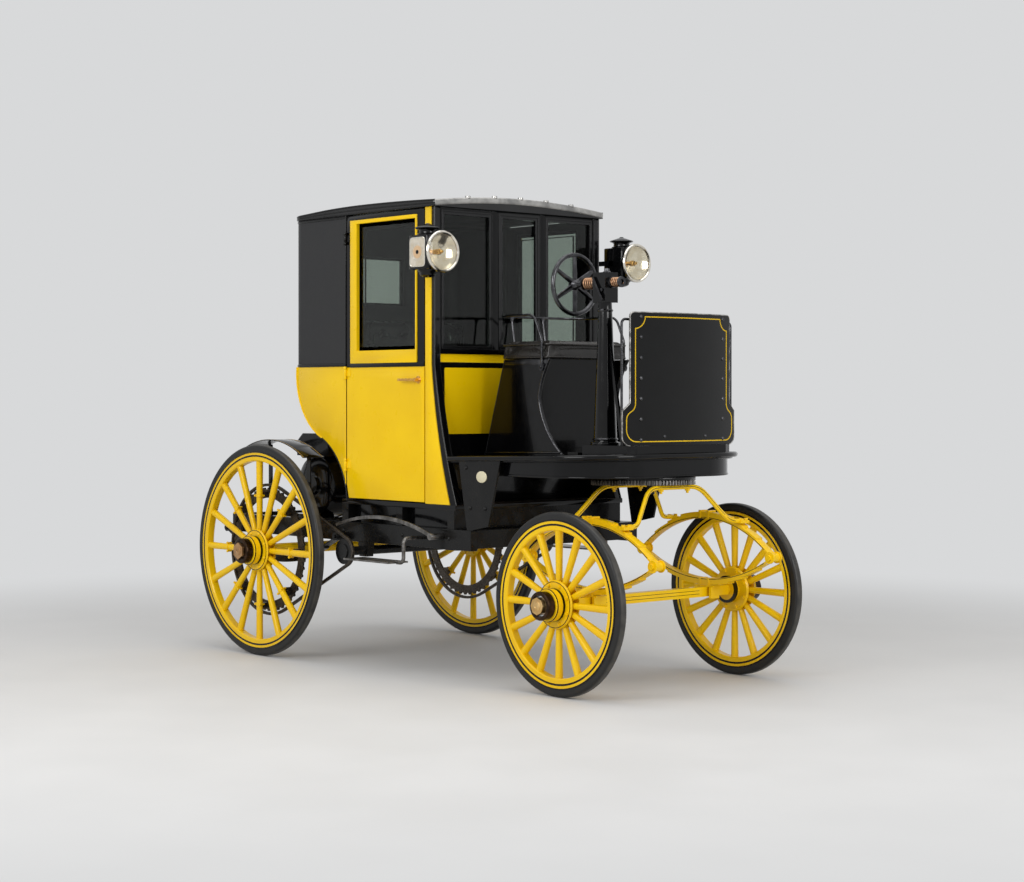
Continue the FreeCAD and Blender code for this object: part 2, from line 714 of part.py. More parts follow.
lever = body("brake_lever")
lever_back, lever_front, lever_bend, lever_deep = 515, 1262, 1150, 14
lever_out, lever_t, boss_r = 64, 8, 15
low_back, low_front = rail_z + 76, rail_z + 50
pad(lever, "XZ", [[(ahead(lever_back), low_back), (ahead(lever_front), low_front, -lever_bend),
                   (ahead(lever_front), low_front + lever_deep + 6),
                   (ahead(lever_back), low_back + lever_deep, lever_bend)]],
    *pair(-1, s.cab_half + lever_out, s.cab_half + lever_out + lever_t))
pad(lever, "XZ", [disc(ahead(lever_front - 12), low_front + 10, boss_r)],
    *pair(-1, s.cab_half, s.cab_half + lever_out + lever_t + 4))

# ---------------------------------------------------------------- body of the cab

cab_floor = body("cab_floor")
pad(cab_floor, "XY", [box(ahead(470), ahead(1354), -s.cab_half, s.cab_half)], floor_z, floor_top)

# Each side sweeps down from the waist in a swelling curve and a hollow one, like a swan's breast.
lower = body("lower_body")
swell_r, hollow_r, turn_x, turn_z = 345, 373, 300, up(321)
foot_z, sill_z = up(77), up(140)
side_front = s.door_back - s.swing_gap
lean_x, lean_z = s.panel * 0.78, s.panel * 0.62
clear = 40
pad(lower, "XZ", [[(ahead(side_front), waist_z), (ahead(s.waist_back), waist_z),
                   (ahead(turn_x), turn_z, swell_r), (ahead(side_front), foot_z, -hollow_r)]],
    -s.cab_half, s.cab_half)
room_front, room_back = ahead(s.door_back + clear), ahead(s.waist_back + s.panel)
cut(lower, "XZ", [[(room_front, waist_z + clear), (room_back, waist_z + clear), (room_back, waist_z),
                   (ahead(turn_x + lean_x), turn_z + lean_z, swell_r - s.panel),
                   (ahead(s.door_back + 18), foot_z, -hollow_r - s.panel), (room_front, foot_z)]],
    -inside, inside)
pad(lower, "XZ", [[(ahead(478), sill_z), (ahead(side_front), foot_z), (ahead(518), floor_top),
                   (ahead(545), floor_top), (ahead(s.door_back + 10), sill_z)]], -inside + 8, inside - 8)

upper_body = body("upper_body")
outer_r, inner_r = s.corner_r, s.corner_r - s.wall
back, front_edge = ahead(s.cab_back), ahead(side_front)
pad(upper_body, "XY", [[(front_edge, -s.cab_half), (front_edge, -inside), (back + s.corner_r, -inside),
                        (back + s.wall, -s.cab_half + s.corner_r, -inner_r),
                        (back + s.wall, s.cab_half - s.corner_r), (back + s.corner_r, inside, -inner_r),
                        (front_edge, inside), (front_edge, s.cab_half), (back + s.corner_r, s.cab_half),
                        (back, s.cab_half - s.corner_r, outer_r), (back, -s.cab_half + s.corner_r),
                        (back + s.corner_r, -s.cab_half, outer_r)]], waist_z, eaves_z)
rear_light = box(-170, 170, up(1015), up(1265))
cut(upper_body, "YZ", [rear_light], back - 10, back + s.wall + 10)

door_window = box(ahead(s.window_back), ahead(s.window_front), window_low, window_high)
rim_back, rim_front, rim_low, rim_high = 52, 10, 62, 18
window_frame = box(ahead(s.window_back - rim_back), ahead(s.window_front + rim_front),
                   window_low - rim_low, window_high + rim_high)
glass_in, glass_t = 14, 4
rail_low, rail_high = waist_z - 7, waist_z + 12
handle_z, handle_back, handle_front, handle_half, handle_out = waist_z - 70, 955, 1090, 6, 34
shank_x, shank_r, rose_r = 1076, 9, 18
for side, sign in SIDES:
    door = body(f"{side}_door")
    skin = pair(sign, inside, s.cab_half)
    top = eaves_z - s.swing_gap
    bottom = floor_top + s.swing_gap
    pad(door, "XZ", [[(ahead(s.door_back), top), (ahead(s.door_back), up(95)), (ahead(524), bottom),
                      (ahead(s.door_front), bottom), (ahead(s.door_front), top)]], *skin)
    cut(door, "XZ", [door_window], skin[0] - 1, skin[1] + 1)
    pad(door, "XZ", [window_frame, door_window], *pair(sign, s.cab_half, s.cab_half + s.bead))
    pad(door, "XZ", [box(ahead(s.window_back - rim_back), ahead(s.door_front), rail_low, rail_high)],
        *pair(sign, s.cab_half, s.cab_half + 4))
    pad(door, "XZ", [disc(ahead(shank_x), handle_z, rose_r)], *pair(sign, s.cab_half, s.cab_half + 4))
    pad(door, "XZ", [disc(ahead(shank_x), handle_z, shank_r)],
        *pair(sign, s.cab_half, s.cab_half + handle_out - 4))
    pad(door, "XZ", [box(ahead(handle_back), ahead(handle_front), handle_z - handle_half,
                         handle_z + handle_half)],
        *pair(sign, s.cab_half + handle_out - 12, s.cab_half + handle_out))
    glass = body(f"{side}_door_glass")
    pad(glass, "XZ", [door_window], *pair(sign, s.cab_half - glass_in - glass_t, s.cab_half - glass_in))

hinges = body("door_hinges")
pin_x, pin_y, pin_r, knuckle_r, knuckle_long = ahead(505.5), s.cab_half + 9, 4, 8, 34
leaf_long, leaf_gap, leaf_reach, knuckle_gap, outer_long, leaf_out = 34, 5, 26, 0.5, 14, 3
for side, sign in SIDES:
    door = next(one for one in nodes if one.Label == f"{side}_door")
    leaf = pair(sign, s.cab_half, s.cab_half + leaf_out)
    for at in (up(175), up(630), up(1295)):
        above = at + knuckle_long
        pad(door, "XY", [disc(pin_x, pin_y * sign, knuckle_r),
                         disc(pin_x, pin_y * sign, pin_r + s.running_gap)], at, above)
        pad(door, "XZ", [box(pin_x + leaf_gap, pin_x + leaf_long, at, above)], *leaf)
        for z0, z1 in ((at - outer_long, at - knuckle_gap), (above + knuckle_gap, above + outer_long)):
            pad(hinges, "XY", [disc(pin_x, pin_y * sign, knuckle_r)], z0, z1)
            pad(hinges, "XZ", [box(pin_x - leaf_reach, pin_x - leaf_gap, z0, z1)], *leaf)
        pad(hinges, "XY", [disc(pin_x, pin_y * sign, pin_r)], at - leaf_gap, above + leaf_gap)

# The pillar's raised strip sweeps forward below the waist, and a lower edge runs in front of it.
pillars = body("front_pillars")
pillar_back = ahead(s.door_front + s.swing_gap)
pillar_wide = 43
post_in = s.cab_half - pillar_wide
edge_front, edge_foot, edge_r = ahead(1188), ahead(1350), 3350
strip_front, strip_foot, strip_r = ahead(1168), ahead(1303), 3100
for side, sign in SIDES:
    pad(pillars, "XZ", [[(pillar_back, eaves_z), (pillar_back, floor_top), (edge_foot, floor_top),
                         (edge_front, waist_z, -edge_r), (edge_front, eaves_z)]],
        *pair(sign, post_in, s.cab_half - s.bead))
    pad(pillars, "XZ", [[(pillar_back, eaves_z), (pillar_back, floor_top), (strip_foot, floor_top),
                         (strip_front, waist_z, -strip_r), (strip_front, eaves_z)]],
        *pair(sign, s.cab_half - s.bead - 1, s.cab_half))

bulkhead = body("front_bulkhead")
front_low, front_high = ahead(s.cab_front - s.panel), ahead(s.cab_front)
pane_low, pane_high = up(758), up(1405)
pane_in, middle_half = 180, 120
panes = [box(sign * pane_in, sign * (post_in - 10), pane_low, pane_high) for sign in (-1, 1)]
panes.append(box(-middle_half, middle_half, pane_low, pane_high))
pad(bulkhead, "YZ", [box(-post_in, post_in, floor_top, eaves_z)], front_low, front_high)
cut(bulkhead, "YZ", panes, front_low - 1, front_high + 1)
for low, high, half in ((pane_low - 26, pane_low, post_in), (up(666), up(693), post_in),
                        (up(352), up(666), post_in - 27)):
    pad(bulkhead, "YZ", [box(-half, half, low, high)], front_high, front_high + s.bead)
for side, sign in SIDES:
    pad(bulkhead, "YZ", [box(sign * 137, sign * 176, pane_low, eaves_z)], front_high, front_high + s.bead)

cab_glass = body("front_glass")
pad(cab_glass, "YZ", panes, front_high - glass_in, front_high - glass_in + glass_t)
pad(cab_glass, "YZ", [rear_light], back + 12, back + 16)

roof = body("roof")
roof_loft = roof.newObject("PartDesign::AdditiveLoft", "crown")
roof_half, roof_back = s.cab_half + 6, s.cab_back - 4
sections = []
for at, edge, crown in ((roof_back, 12, 46), (size(640), 38, 76), (s.cab_front + 22, 26, 60)):
    rise = crown - edge
    crown_r = (roof_half * roof_half) / (rise * 2) + rise / 2
    sections.append(draw(roof, "YZ", ahead(at), [[
        (roof_half, eaves_z), (roof_half, eaves_z + edge),
        (-roof_half, eaves_z + edge, crown_r), (-roof_half, eaves_z)]]))
roof_loft.Profile = sections[0]
roof_loft.Sections = [(one, [""]) for one in sections[1:]]
roof.Tip = roof_loft
roof_r = s.corner_r + 6
corner_x, shave = ahead(roof_back), 2
for side, sign in SIDES:
    out_y, in_y, far_y = (roof_half + shave) * sign, (roof_half - roof_r) * sign, (roof_half + clear) * sign
    cut(roof, "XY", [[(corner_x + roof_r, out_y), (corner_x - shave, in_y, (roof_r + shave) * sign),
                      (corner_x - clear, in_y), (corner_x - clear, far_y), (corner_x + roof_r, far_y)]],
        eaves_z - 5, eaves_z + 90)

seat_front, seat_t, seat_top = 560, 20, up(365)
seat_base = body("passenger_seat_base")
pad(seat_base, "XZ", [[(ahead(290), seat_top), (ahead(315), seat_top - seat_t),
                       (ahead(seat_front - 15), seat_top - seat_t), (ahead(seat_front - 15), floor_top),
                       (ahead(seat_front), floor_top), (ahead(seat_front), seat_top)]],
    -inside + 8, inside - 8)
seat_pad = body("passenger_seat_cushion")
pad_low, pad_high, soft_half, ledge = seat_top + s.seat_gap, up(480), inside - 12, 8
pad(seat_pad, "XZ", [[(ahead(280), pad_low), (ahead(565), pad_low), (ahead(565), pad_high),
                      (ahead(254), pad_high), (ahead(254), pad_high - ledge),
                      (ahead(180), pad_high - ledge)]], -soft_half, soft_half)
seat_back = body("passenger_seat_back")
rest_low, rest_high = pad_high - ledge + s.seat_gap, up(925)
pad(seat_back, "XZ", [[(ahead(158), rest_low), (ahead(250), rest_low), (ahead(190), rest_high),
                       (ahead(112), rest_high)]], -soft_half, soft_half)

# ---------------------------------------------------------------- driver's platform

board_low = board_top(s.board_back) - s.board_t
board_high = board_top(board_front) + 10
past = 5
far_out = s.cab_half + 100


def rounded_front(half, front, radius):
    """Plan of the platform: square behind, with two rounded corners in front."""
    neck, notch = s.cab_half - 48, ahead(1300)
    return [(ahead(s.board_back), -neck), (notch, -neck), (notch, -half), (ahead(front - radius), -half),
            (ahead(front), -half + radius, radius), (ahead(front), half - radius),
            (ahead(front - radius), half, radius), (notch, half), (notch, neck), (ahead(s.board_back), neck)]


def sloped(made, top_drop):
    """Cuts a flat-topped piece back to the platform's slope, top_drop under its top."""
    cut(made, "XZ", [[(ahead(s.board_back - past), board_top(s.board_back - past) - top_drop),
                      (ahead(board_front + past), board_top(board_front + past) - top_drop),
                      (ahead(board_front + past), board_high + clear),
                      (ahead(s.board_back - past), board_high + clear)]], -far_out, far_out)


board = body("driver_platform")
pad(board, "XY", [rounded_front(s.cab_half, board_front, s.board_r)], board_low, board_high)
sloped(board, 0)
hollow_back = s.board_back + 60
cut(board, "XZ", [[(ahead(hollow_back), board_low - past), (ahead(board_front + past), board_low - past),
                   (ahead(board_front + past), board_top(board_front + past) - s.board_t),
                   (ahead(hollow_back), board_top(hollow_back) - s.board_t)]], -far_out, far_out)

valance = body("valance")
edge, skirt_back = s.cab_half - s.valance_in, ahead(1640)
v_front, v_r = board_front - s.valance_in, s.board_r - s.valance_in
v_nose, v_in, v_corner = ahead(v_front), edge - s.valance_t, ahead(v_front - v_r)
inner_bend = v_r - s.valance_t
pad(valance, "XY", [[(skirt_back, -edge), (v_corner, -edge), (v_nose, -edge + v_r, v_r),
                     (v_nose, edge - v_r), (v_corner, edge, v_r), (skirt_back, edge), (skirt_back, v_in),
                     (v_corner, v_in),
                     (v_nose - s.valance_t, edge - v_r, -inner_bend), (v_nose - s.valance_t, -edge + v_r),
                     (v_corner, -v_in, -inner_bend), (skirt_back, -v_in)]], valance_z, board_high)
sloped(valance, s.board_t)

bearer_front = board_front - 65
for side, sign in SIDES:
    pad(cross, "XZ", [[(ahead(s.cab_front + s.bead), valance_z), (ahead(bearer_front), valance_z),
                       (ahead(bearer_front), board_top(bearer_front) - s.board_t),
                       (ahead(hollow_back), board_top(hollow_back) - s.board_t),
                       (ahead(hollow_back), board_low - 2), (ahead(s.cab_front + s.bead), board_low - 2)]],
        *pair(sign, 110, 160))
for at in (1400, 1600):
    pad(cross, "XZ", [box(ahead(at), ahead(at + 40), valance_z, board_top(at) - s.board_t)],
        -s.cab_half + hanger_t, s.cab_half - hanger_t)

toe_top = dash_low - s.seat_gap
toe_back, toe_half, toe_point, toe_cut = dash_front - 305, 330, 20, 45
pad(board, "XY", [[(ahead(toe_back), -toe_half), (ahead(dash_front - toe_point), -toe_half),
                   (ahead(dash_front), -toe_half + toe_cut), (ahead(dash_front), toe_half - toe_cut),
                   (ahead(dash_front - toe_point), toe_half), (ahead(toe_back), toe_half)]],
    board_top(toe_back) - 4, toe_top)
cut(board, "XY", [disc(ahead(column_ahead), column_y, s.pinion_shaft_r + s.running_gap)],
    board_low - past, board_top(board_front) + past)

dash = body("dash")
d_half, d_wide, d_top = s.dash_half, s.dash_half + s.dash_ear, dash_low + s.dash_high
ear_low, ear_top, ear_end, ear_r, corner = dash_low + 30, dash_low + 152, dash_low + 187, 42, 20
pad(dash, "YZ", [[(-d_half, dash_low, ear_r), (d_half, dash_low), (d_wide, ear_low, ear_r),
                  (d_wide, ear_top), (d_half, ear_end), (d_half, d_top - corner),
                  (d_half - corner, d_top, corner),
                  (-d_half + corner, d_top), (-d_half, d_top - corner, corner), (-d_half, ear_end),
                  (-d_wide, ear_top), (-d_wide, ear_low)]],
    ahead(dash_front - s.dash_t), ahead(dash_front))

iron_r, iron_bend = 6, 22
iron_x = ahead(dash_front - s.dash_t - 2 * iron_r)
iron_top = d_top - 31
irons = []
for side, sign in SIDES:
    y_in, y_out = (s.dash_half - 30) * sign, (s.dash_half + s.dash_ear - 8) * sign
    irons.append(rod([(iron_x, y_out, toe_top + 60), (iron_x, y_out, iron_top), (iron_x, y_in, iron_top),
                      (iron_x, y_in, toe_top)], iron_r, [iron_bend, iron_bend]))
own("dash_irons", Part.makeCompound(irons))

box_body = body("driver_seat_box")
half, panel_t = s.seat_half, 20
foot_back, foot_front, seat_back_x, waist_x, seat_lip = 1230, 1770, 1375, 1612, 1685
waist_up, hollow = up(525), 420
for side, sign in SIDES:
    pad(box_body, "XZ", [[(ahead(foot_back), board_top(foot_back)),
                          (ahead(foot_front), board_top(foot_front)), (ahead(waist_x), waist_up, -hollow),
                          (ahead(seat_lip), seat_z, -hollow), (ahead(seat_back_x), seat_z)]],
        *pair(sign, half - panel_t, half))
pad(box_body, "YZ", [box(-half + panel_t, half - panel_t, board_top(waist_x), seat_z)],
    ahead(waist_x - 22), ahead(waist_x - 2))
pad(box_body, "XZ", [box(ahead(seat_back_x), ahead(waist_x - 2), seat_z - panel_t, seat_z)],
    -half + panel_t, half - panel_t)

cushion = body("driver_cushion")
pad(cushion, "XZ", [box(ahead(1350), ahead(1680), seat_z + s.seat_gap, seat_z + s.cushion_t)],
    -half + 2, half - 2)

rail_r = 6
rest_z, rail_end, rail_foot, rail_knee, rail_front, rail_rear = up(911), up(655), 1645, up(795), 1590, 1300
rail_y = half + rail_r + s.seat_gap
loop = rod([(ahead(rail_foot), -rail_y, rail_end), (ahead(rail_foot), -rail_y, rail_knee),
            (ahead(rail_front), -rail_y, rest_z), (ahead(rail_rear), -rail_y, rest_z),
            (ahead(rail_rear), rail_y, rest_z), (ahead(rail_front), rail_y, rest_z),
            (ahead(rail_foot), rail_y, rail_knee), (ahead(rail_foot), rail_y, rail_end)],
           rail_r, [55, 55, 110, 110, 55, 55])
foot_x, foot_up = 1338, seat_z - 10
uprights = [rod([(ahead(rail_rear + 1), at, rest_z), (ahead(foot_x), at, foot_up),
                 (ahead(seat_back_x), at, foot_up)], rail_r - 1, [16]) for at in (-150, 50)]
own("driver_seat_rail", loop.fuse(uprights).removeSplitter())

column = body("steering_column", x=ahead(column_ahead), y=column_y)
column_top, shaft_z = up(s.column_up), up(s.shaft_up)
base_out, base_t, head_half, head_over, shaft_r = 14, 12, 40, 45, 11
turn(column, "XZ", [(0, toe_top), (s.column_foot_r + base_out, toe_top),
                    (s.column_foot_r + base_out, toe_top + base_t), (s.column_foot_r, toe_top + base_t + 4),
                    (s.column_top_r, column_top), (0, column_top)], "V_Axis")
pad(column, "XY", [box(-head_half, head_half, -head_half, head_half)], column_top, shaft_z + head_over)
pad(column, "YZ", [disc(0, shaft_z, 26)], -head_half - 10, head_half + 10)
pad(column, "XZ", [[(20, up(775)), (34, up(775)), (122, toe_top), (104, toe_top)]], -6, 6)
cut(column, "YZ", [disc(0, shaft_z, shaft_r + s.running_gap)], -60, 60)

hand = body("steering_handwheel", x=ahead(column_ahead - s.handwheel_back), y=column_y, z=shaft_z)
grip, round_r, boss_half, boss_r, spoke_half, shaft_past = 9, 4.5, 18, 26, 5, 100
rim_in = s.handwheel_r - 2 * grip
turn(hand, "XZ", [(-grip, rim_in + round_r), (-round_r, rim_in), (round_r, rim_in), (grip, rim_in + round_r),
                  (grip, s.handwheel_r - round_r), (round_r, s.handwheel_r), (-round_r, s.handwheel_r),
                  (-grip, s.handwheel_r - round_r)], "H_Axis")
turn(hand, "XZ", [(-boss_half, 0), (-boss_half, boss_r), (boss_half, boss_r), (boss_half, shaft_r),
                  (s.handwheel_back + shaft_past, shaft_r), (s.handwheel_back + shaft_past, 0)], "H_Axis")
spoke = pad(hand, "XY", [box(-spoke_half, spoke_half, boss_r - 6, s.handwheel_r - grip)], -8, 8)
around(hand, spoke, "X_Axis", 6)

lamp_x, lamp_half, lamp_high = -89, 62, 80
for side, sign in SIDES:
    lamp = body(f"{side}_lamp", x=ahead(s.lamp_ahead), y=(s.cab_half + s.lamp_out) * sign, z=up(s.lamp_up))
    turn(lamp, "XZ", [(-30, 0), (-30, 70), (-8, s.lens_r), (12, s.lens_r), (12, s.lens_r - 12), (2, 60),
                      (2, 0)], "H_Axis")
    pad(lamp, "XY", [box(-150, -28, -lamp_half, lamp_half)], -lamp_high, lamp_high)
    cut(lamp, "XZ", [box(-138, -44, -64, 64)], *pair(1, -lamp_half - 1, -lamp_half + 4))
    cut(lamp, "XZ", [box(-138, -44, -64, 64)], *pair(1, lamp_half - 4, lamp_half + 1))
    for z0, z1, r in ((80, 98, 46), (98, 114, 38), (114, 120, 60), (120, 128, 36), (128, 138, 13),
                      (-98, -80, 46), (-116, -98, 34)):
        pad(lamp, "XY", [disc(lamp_x, 0, r)], z0, z1)
    pad(lamp, "XZ", [box(-105, -85, -12, 12)], *pair(sign, 5 - lamp_half, -s.lamp_out))
    pad(lamp, "XZ", [box(-210, -85, -12, 12)], *pair(sign, 16 - s.lamp_out, -s.lamp_out))

# ---------------------------------------------------------------- fore-carriage

plate = body("turntable_plate", x=front_x)
plate_low = valance_z - s.ring_t
king_low = plate_low - 70
turn(plate, "XZ", [(0, valance_z), (s.ring_r, valance_z), (s.ring_r, plate_low),
                   (s.king_r, plate_low), (s.king_r, king_low), (0, king_low)], "V_Axis")

gear = body("turntable_gear", x=front_x, turned=mesh_angle)
gear_top = plate_low - s.seat_gap
gear_low = gear_top - s.gear_t
king_bore = s.king_r + s.running_gap
gear_root = gear_blank_r(s.gear_teeth)
turn(gear, "XZ", [(king_bore, gear_top), (gear_root, gear_top), (gear_root, gear_low),
                  (king_bore, gear_low)], "V_Axis")
cog = pad(gear, "XY", [tooth(s.gear_teeth, 0.4)], gear_low, gear_top)
around(gear, cog, "Z_Axis", s.gear_teeth)

half_tooth = 180 / s.pinion_teeth.value
pinion = body("steering_pinion", x=ahead(column_ahead), y=column_y, turned=mesh_angle + 180 + half_tooth)
pinion_top = board_top(column_ahead) - 2
pinion_root = gear_blank_r(s.pinion_teeth)
turn(pinion, "XZ", [(0, gear_low + 1), (pinion_root, gear_low + 1), (pinion_root, gear_top),
                    (s.pinion_shaft_r, gear_top), (s.pinion_shaft_r, pinion_top), (0, pinion_top)], "V_Axis")
cog = pad(pinion, "XY", [tooth(s.pinion_teeth, 0.4)], gear_low + 1, gear_top)
around(pinion, cog, "Z_Axis", s.pinion_teeth)

bar, iron_half, iron_bends = 11, 150, [40, 40]
iron_z = gear_low - bar
eye_z, spring_low = s.front_tyre_r + s.eye_up, s.front_tyre_r + s.spring_low_up
spring_high = s.front_tyre_r + s.spring_high_up
bow = spring_high - eye_z
crown_r = (s.spring_half * s.spring_half + bow * bow) / (bow * 2)
foot_out, foot_half, foot_wide, foot_t = s.spring_half * s.foot_share, 14, 58, 14
pile_r = crown_r + s.leaf_t * 3
near = foot_out - foot_half
foot_z = spring_high - crown_r + root(pile_r * pile_r - near * near) + s.seat_gap
bolt_r, bolt_high = 9, 10
iron_shapes = []
for end in (-1, 1):
    top_x, foot_x = front_x + iron_half * end, front_x + foot_out * end
    bow_iron = rod([(foot_x, -s.spring_y, foot_z + bar), (top_x, -iron_half, iron_z),
                    (top_x, iron_half, iron_z), (foot_x, s.spring_y, foot_z + bar)], bar, iron_bends)
    feet = []
    for side, sign in SIDES:
        corner = V(float(foot_x) - foot_half, float(s.spring_y) * sign - foot_wide / 2, float(foot_z))
        feet.append(Part.makeBox(foot_half * 2, foot_wide, foot_t, corner))
        for way in (-1, 1):
            at = V(float(foot_x), float(s.spring_y) * sign + way * (foot_wide / 2 - bolt_r), float(foot_z))
            feet.append(Part.makeCylinder(bolt_r, foot_t + bolt_high, at))
    iron_shapes.append(bow_iron.fuse(feet).removeSplitter())
own("fore_irons", Part.makeCompound(iron_shapes))

springs = body("front_springs")
for side, sign in SIDES:
    span = s.spring_y * sign - s.spring_wide / 2, s.spring_y * sign + s.spring_wide / 2
    leaf_pack(springs, front_x, *span, eye_z, spring_low, s.spring_half)
    leaf_pack(springs, front_x, *span, eye_z, spring_high, s.spring_half)
    spring_eyes(springs, front_x, *span, eye_z, s.spring_half)

axle = body("front_axle", x=front_x, z=s.front_tyre_r)
half = s.axle_high / 2
beam = s.front_wheel_y - s.hub_back - s.hub_front_gap
pad(axle, "XZ", [box(-half, half, -half, half)], -beam, beam)
front_arm = s.front_wheel_y + s.hub_reach + 5
seat_half_x, clip_out = 60, 24
spring_seat = s.spring_low_up - s.leaf_t * LEAVES
for side, sign in SIDES:
    pad(axle, "XZ", [disc(0, 0, s.arm_r)], *pair(sign, beam, front_arm))
    pad(axle, "XZ", [box(-seat_half_x, seat_half_x, half, spring_seat)],
        *pair(sign, s.spring_y - clip_out, s.spring_y + clip_out))
    for at in (-45, 45):
        pad(axle, "XZ", [box(at - 7, at + 7, -half - 8, half)],
            *pair(sign, s.spring_y - clip_out - 4, s.spring_y + clip_out + 4))

# ---------------------------------------------------------------- check and write

doc.recompute()
for thing in doc.Objects:
    if "Invalid" in thing.State or "Error" in thing.State:
        raise RuntimeError(f"{thing.Name} ({thing.TypeId}) did not compute: {thing.State}")
os.makedirs("parts", exist_ok=True)
total = 0.0
for node in nodes:
    shape = node.Shape
    if shape.isNull() or not shape.isValid() or not shape.Solids:
        raise RuntimeError(f"{node.Label} has no valid solid")
    total += shape.Volume
    shape.exportStep(f"parts/{node.Label}.step")
print(f"{len(nodes)} sub-parts, {total / 1e9:.3f} cubic metres of solid")
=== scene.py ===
# %% [markdown]
# # A yellow and black electric cab, built around its frame
#
# The frame comes from the engineering model: every iron, panel and wheel is
# already in its place, in metres. This lesson gives each of them its real
# finish and adds what an engineering model leaves out, such as painted lines,
# rivets, buttoned leather and the glass of the lamps. The frame is loaded
# first, because everything else takes its place from it.

# %% Load the frame
import json
import math
import bmesh
import bpy
from mathutils import Matrix, Vector

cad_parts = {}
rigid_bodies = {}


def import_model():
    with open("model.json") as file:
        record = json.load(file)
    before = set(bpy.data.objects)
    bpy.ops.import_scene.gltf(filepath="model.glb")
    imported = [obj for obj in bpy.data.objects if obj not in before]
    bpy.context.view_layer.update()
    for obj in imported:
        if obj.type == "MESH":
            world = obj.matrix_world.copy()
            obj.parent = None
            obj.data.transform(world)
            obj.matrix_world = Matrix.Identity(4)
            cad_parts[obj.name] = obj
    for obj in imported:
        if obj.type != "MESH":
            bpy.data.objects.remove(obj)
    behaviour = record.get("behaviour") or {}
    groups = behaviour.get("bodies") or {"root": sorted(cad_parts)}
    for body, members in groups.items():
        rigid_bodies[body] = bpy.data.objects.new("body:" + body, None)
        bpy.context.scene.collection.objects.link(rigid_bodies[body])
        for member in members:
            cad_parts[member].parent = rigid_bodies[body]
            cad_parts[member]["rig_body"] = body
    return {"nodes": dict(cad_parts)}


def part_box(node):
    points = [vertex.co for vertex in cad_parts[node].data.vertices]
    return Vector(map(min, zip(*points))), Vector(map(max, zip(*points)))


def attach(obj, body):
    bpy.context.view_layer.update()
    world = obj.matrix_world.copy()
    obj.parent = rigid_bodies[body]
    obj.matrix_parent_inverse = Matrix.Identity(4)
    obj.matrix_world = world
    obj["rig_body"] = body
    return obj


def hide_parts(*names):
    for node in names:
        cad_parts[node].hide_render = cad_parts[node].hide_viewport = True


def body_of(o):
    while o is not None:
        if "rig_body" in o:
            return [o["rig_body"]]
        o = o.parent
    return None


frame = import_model()
NODES = frame["nodes"]
UP, BACK, AHEAD, ACROSS = Vector((0, 0, 1)), Vector((-1, 0, 0)), Vector((1, 0, 0)), Vector((0, 1, 0))
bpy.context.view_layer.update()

# %% [markdown]
# Most places below are told as a distance ahead of the rear axle, which is how
# a coachbuilder sets out a carriage. The rear axle's own box gives the start.

# %% Where things are
low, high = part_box("rear_axle")
REAR_X = (low.x + high.x) / 2
low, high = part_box("front_axle")
FRONT_X = (low.x + high.x) / 2
print("rear axle", round(REAR_X, 3), "front axle", round(FRONT_X, 3))


def at(ahead, side, height):
    """A point: ahead of the rear axle, towards the left side, and up."""
    return Vector((REAR_X + ahead, side, height))

# %% [markdown]
# The camera stands at the height of a person's chest, well off the front
# right corner, with a long lens, so that the near and far wheels keep nearly
# the same size. It is all but level, and a small shift puts the horizon where
# it belongs without tipping the upright lines.

# %% Camera
CAMERA_AHEAD, CAMERA_SIDE, CAMERA_UP = 8.6817, -6.6465, 1.3130
CAMERA_TURN = 0.8488
CAMERA_DIP = 0.0033
LENS_MM, SENSOR_MM = 72.09, 36.0
SHIFT_UP = -0.0364
FARTHEST_SEEN = 200.0

eye = bpy.data.cameras.new("eye")
eye.lens = LENS_MM
eye.sensor_width = SENSOR_MM
eye.shift_y = SHIFT_UP
eye.clip_end = FARTHEST_SEEN
camera = bpy.data.objects.new("camera", eye)
camera.location = at(CAMERA_AHEAD, CAMERA_SIDE, CAMERA_UP)
camera.rotation_euler = (math.pi / 2 - CAMERA_DIP, 0.0, CAMERA_TURN)
bpy.context.scene.collection.objects.link(camera)
bpy.context.scene.camera = camera
print("camera", [round(v, 2) for v in camera.location], "lens", LENS_MM, "mm")

# %% [markdown]
# A material is a small graph of nodes. One function adds a node, sets it and
# links it, so that each finish reads as a short list of what it is made of.
# Paint colours are written as they look on a screen (sRGB), while the
# renderer counts light, so one more function turns the first into the second.

# %% The two helpers for materials
def linear(code):
    """A colour such as "C89B2A" as the renderer's red, green, blue and alpha."""
    parts = [int(code[i:i + 2], 16) / 255 for i in (0, 2, 4)]
    lit = [p / 12.92 if p <= 0.04045 else ((p + 0.055) / 1.055) ** 2.4 for p in parts]
    return (*lit, 1.0)


def add(tree, kind, feed=None, **settings):
    """Adds a node to the tree: feed gives its inputs, as values or as links."""
    node = tree.nodes.new(kind)
    for name, value in settings.items():
        setattr(node, name, value)
    for name, value in (feed or {}).items():
        if isinstance(value, bpy.types.NodeSocket):
            tree.links.new(value, node.inputs[name])
        else:
            node.inputs[name].default_value = value
    return node


MM = 0.001


def scale_for(millimetres):
    """The scale of a noise or cell pattern that repeats after that length."""
    return 1.0 / (millimetres * MM)


print("black paint #151413 is", [round(v, 4) for v in linear("151413")[:3]], "in linear light")

# %% [markdown]
# Nearly every finish here is one of a few kinds: varnished coach paint,
# leather, rubber, metal and glass. `finish` makes a material with the shader
# at the end and the object's own coordinates at the start. A grain lies in
# between, and `surfaced` lets it drive the colour, the gloss and the relief.

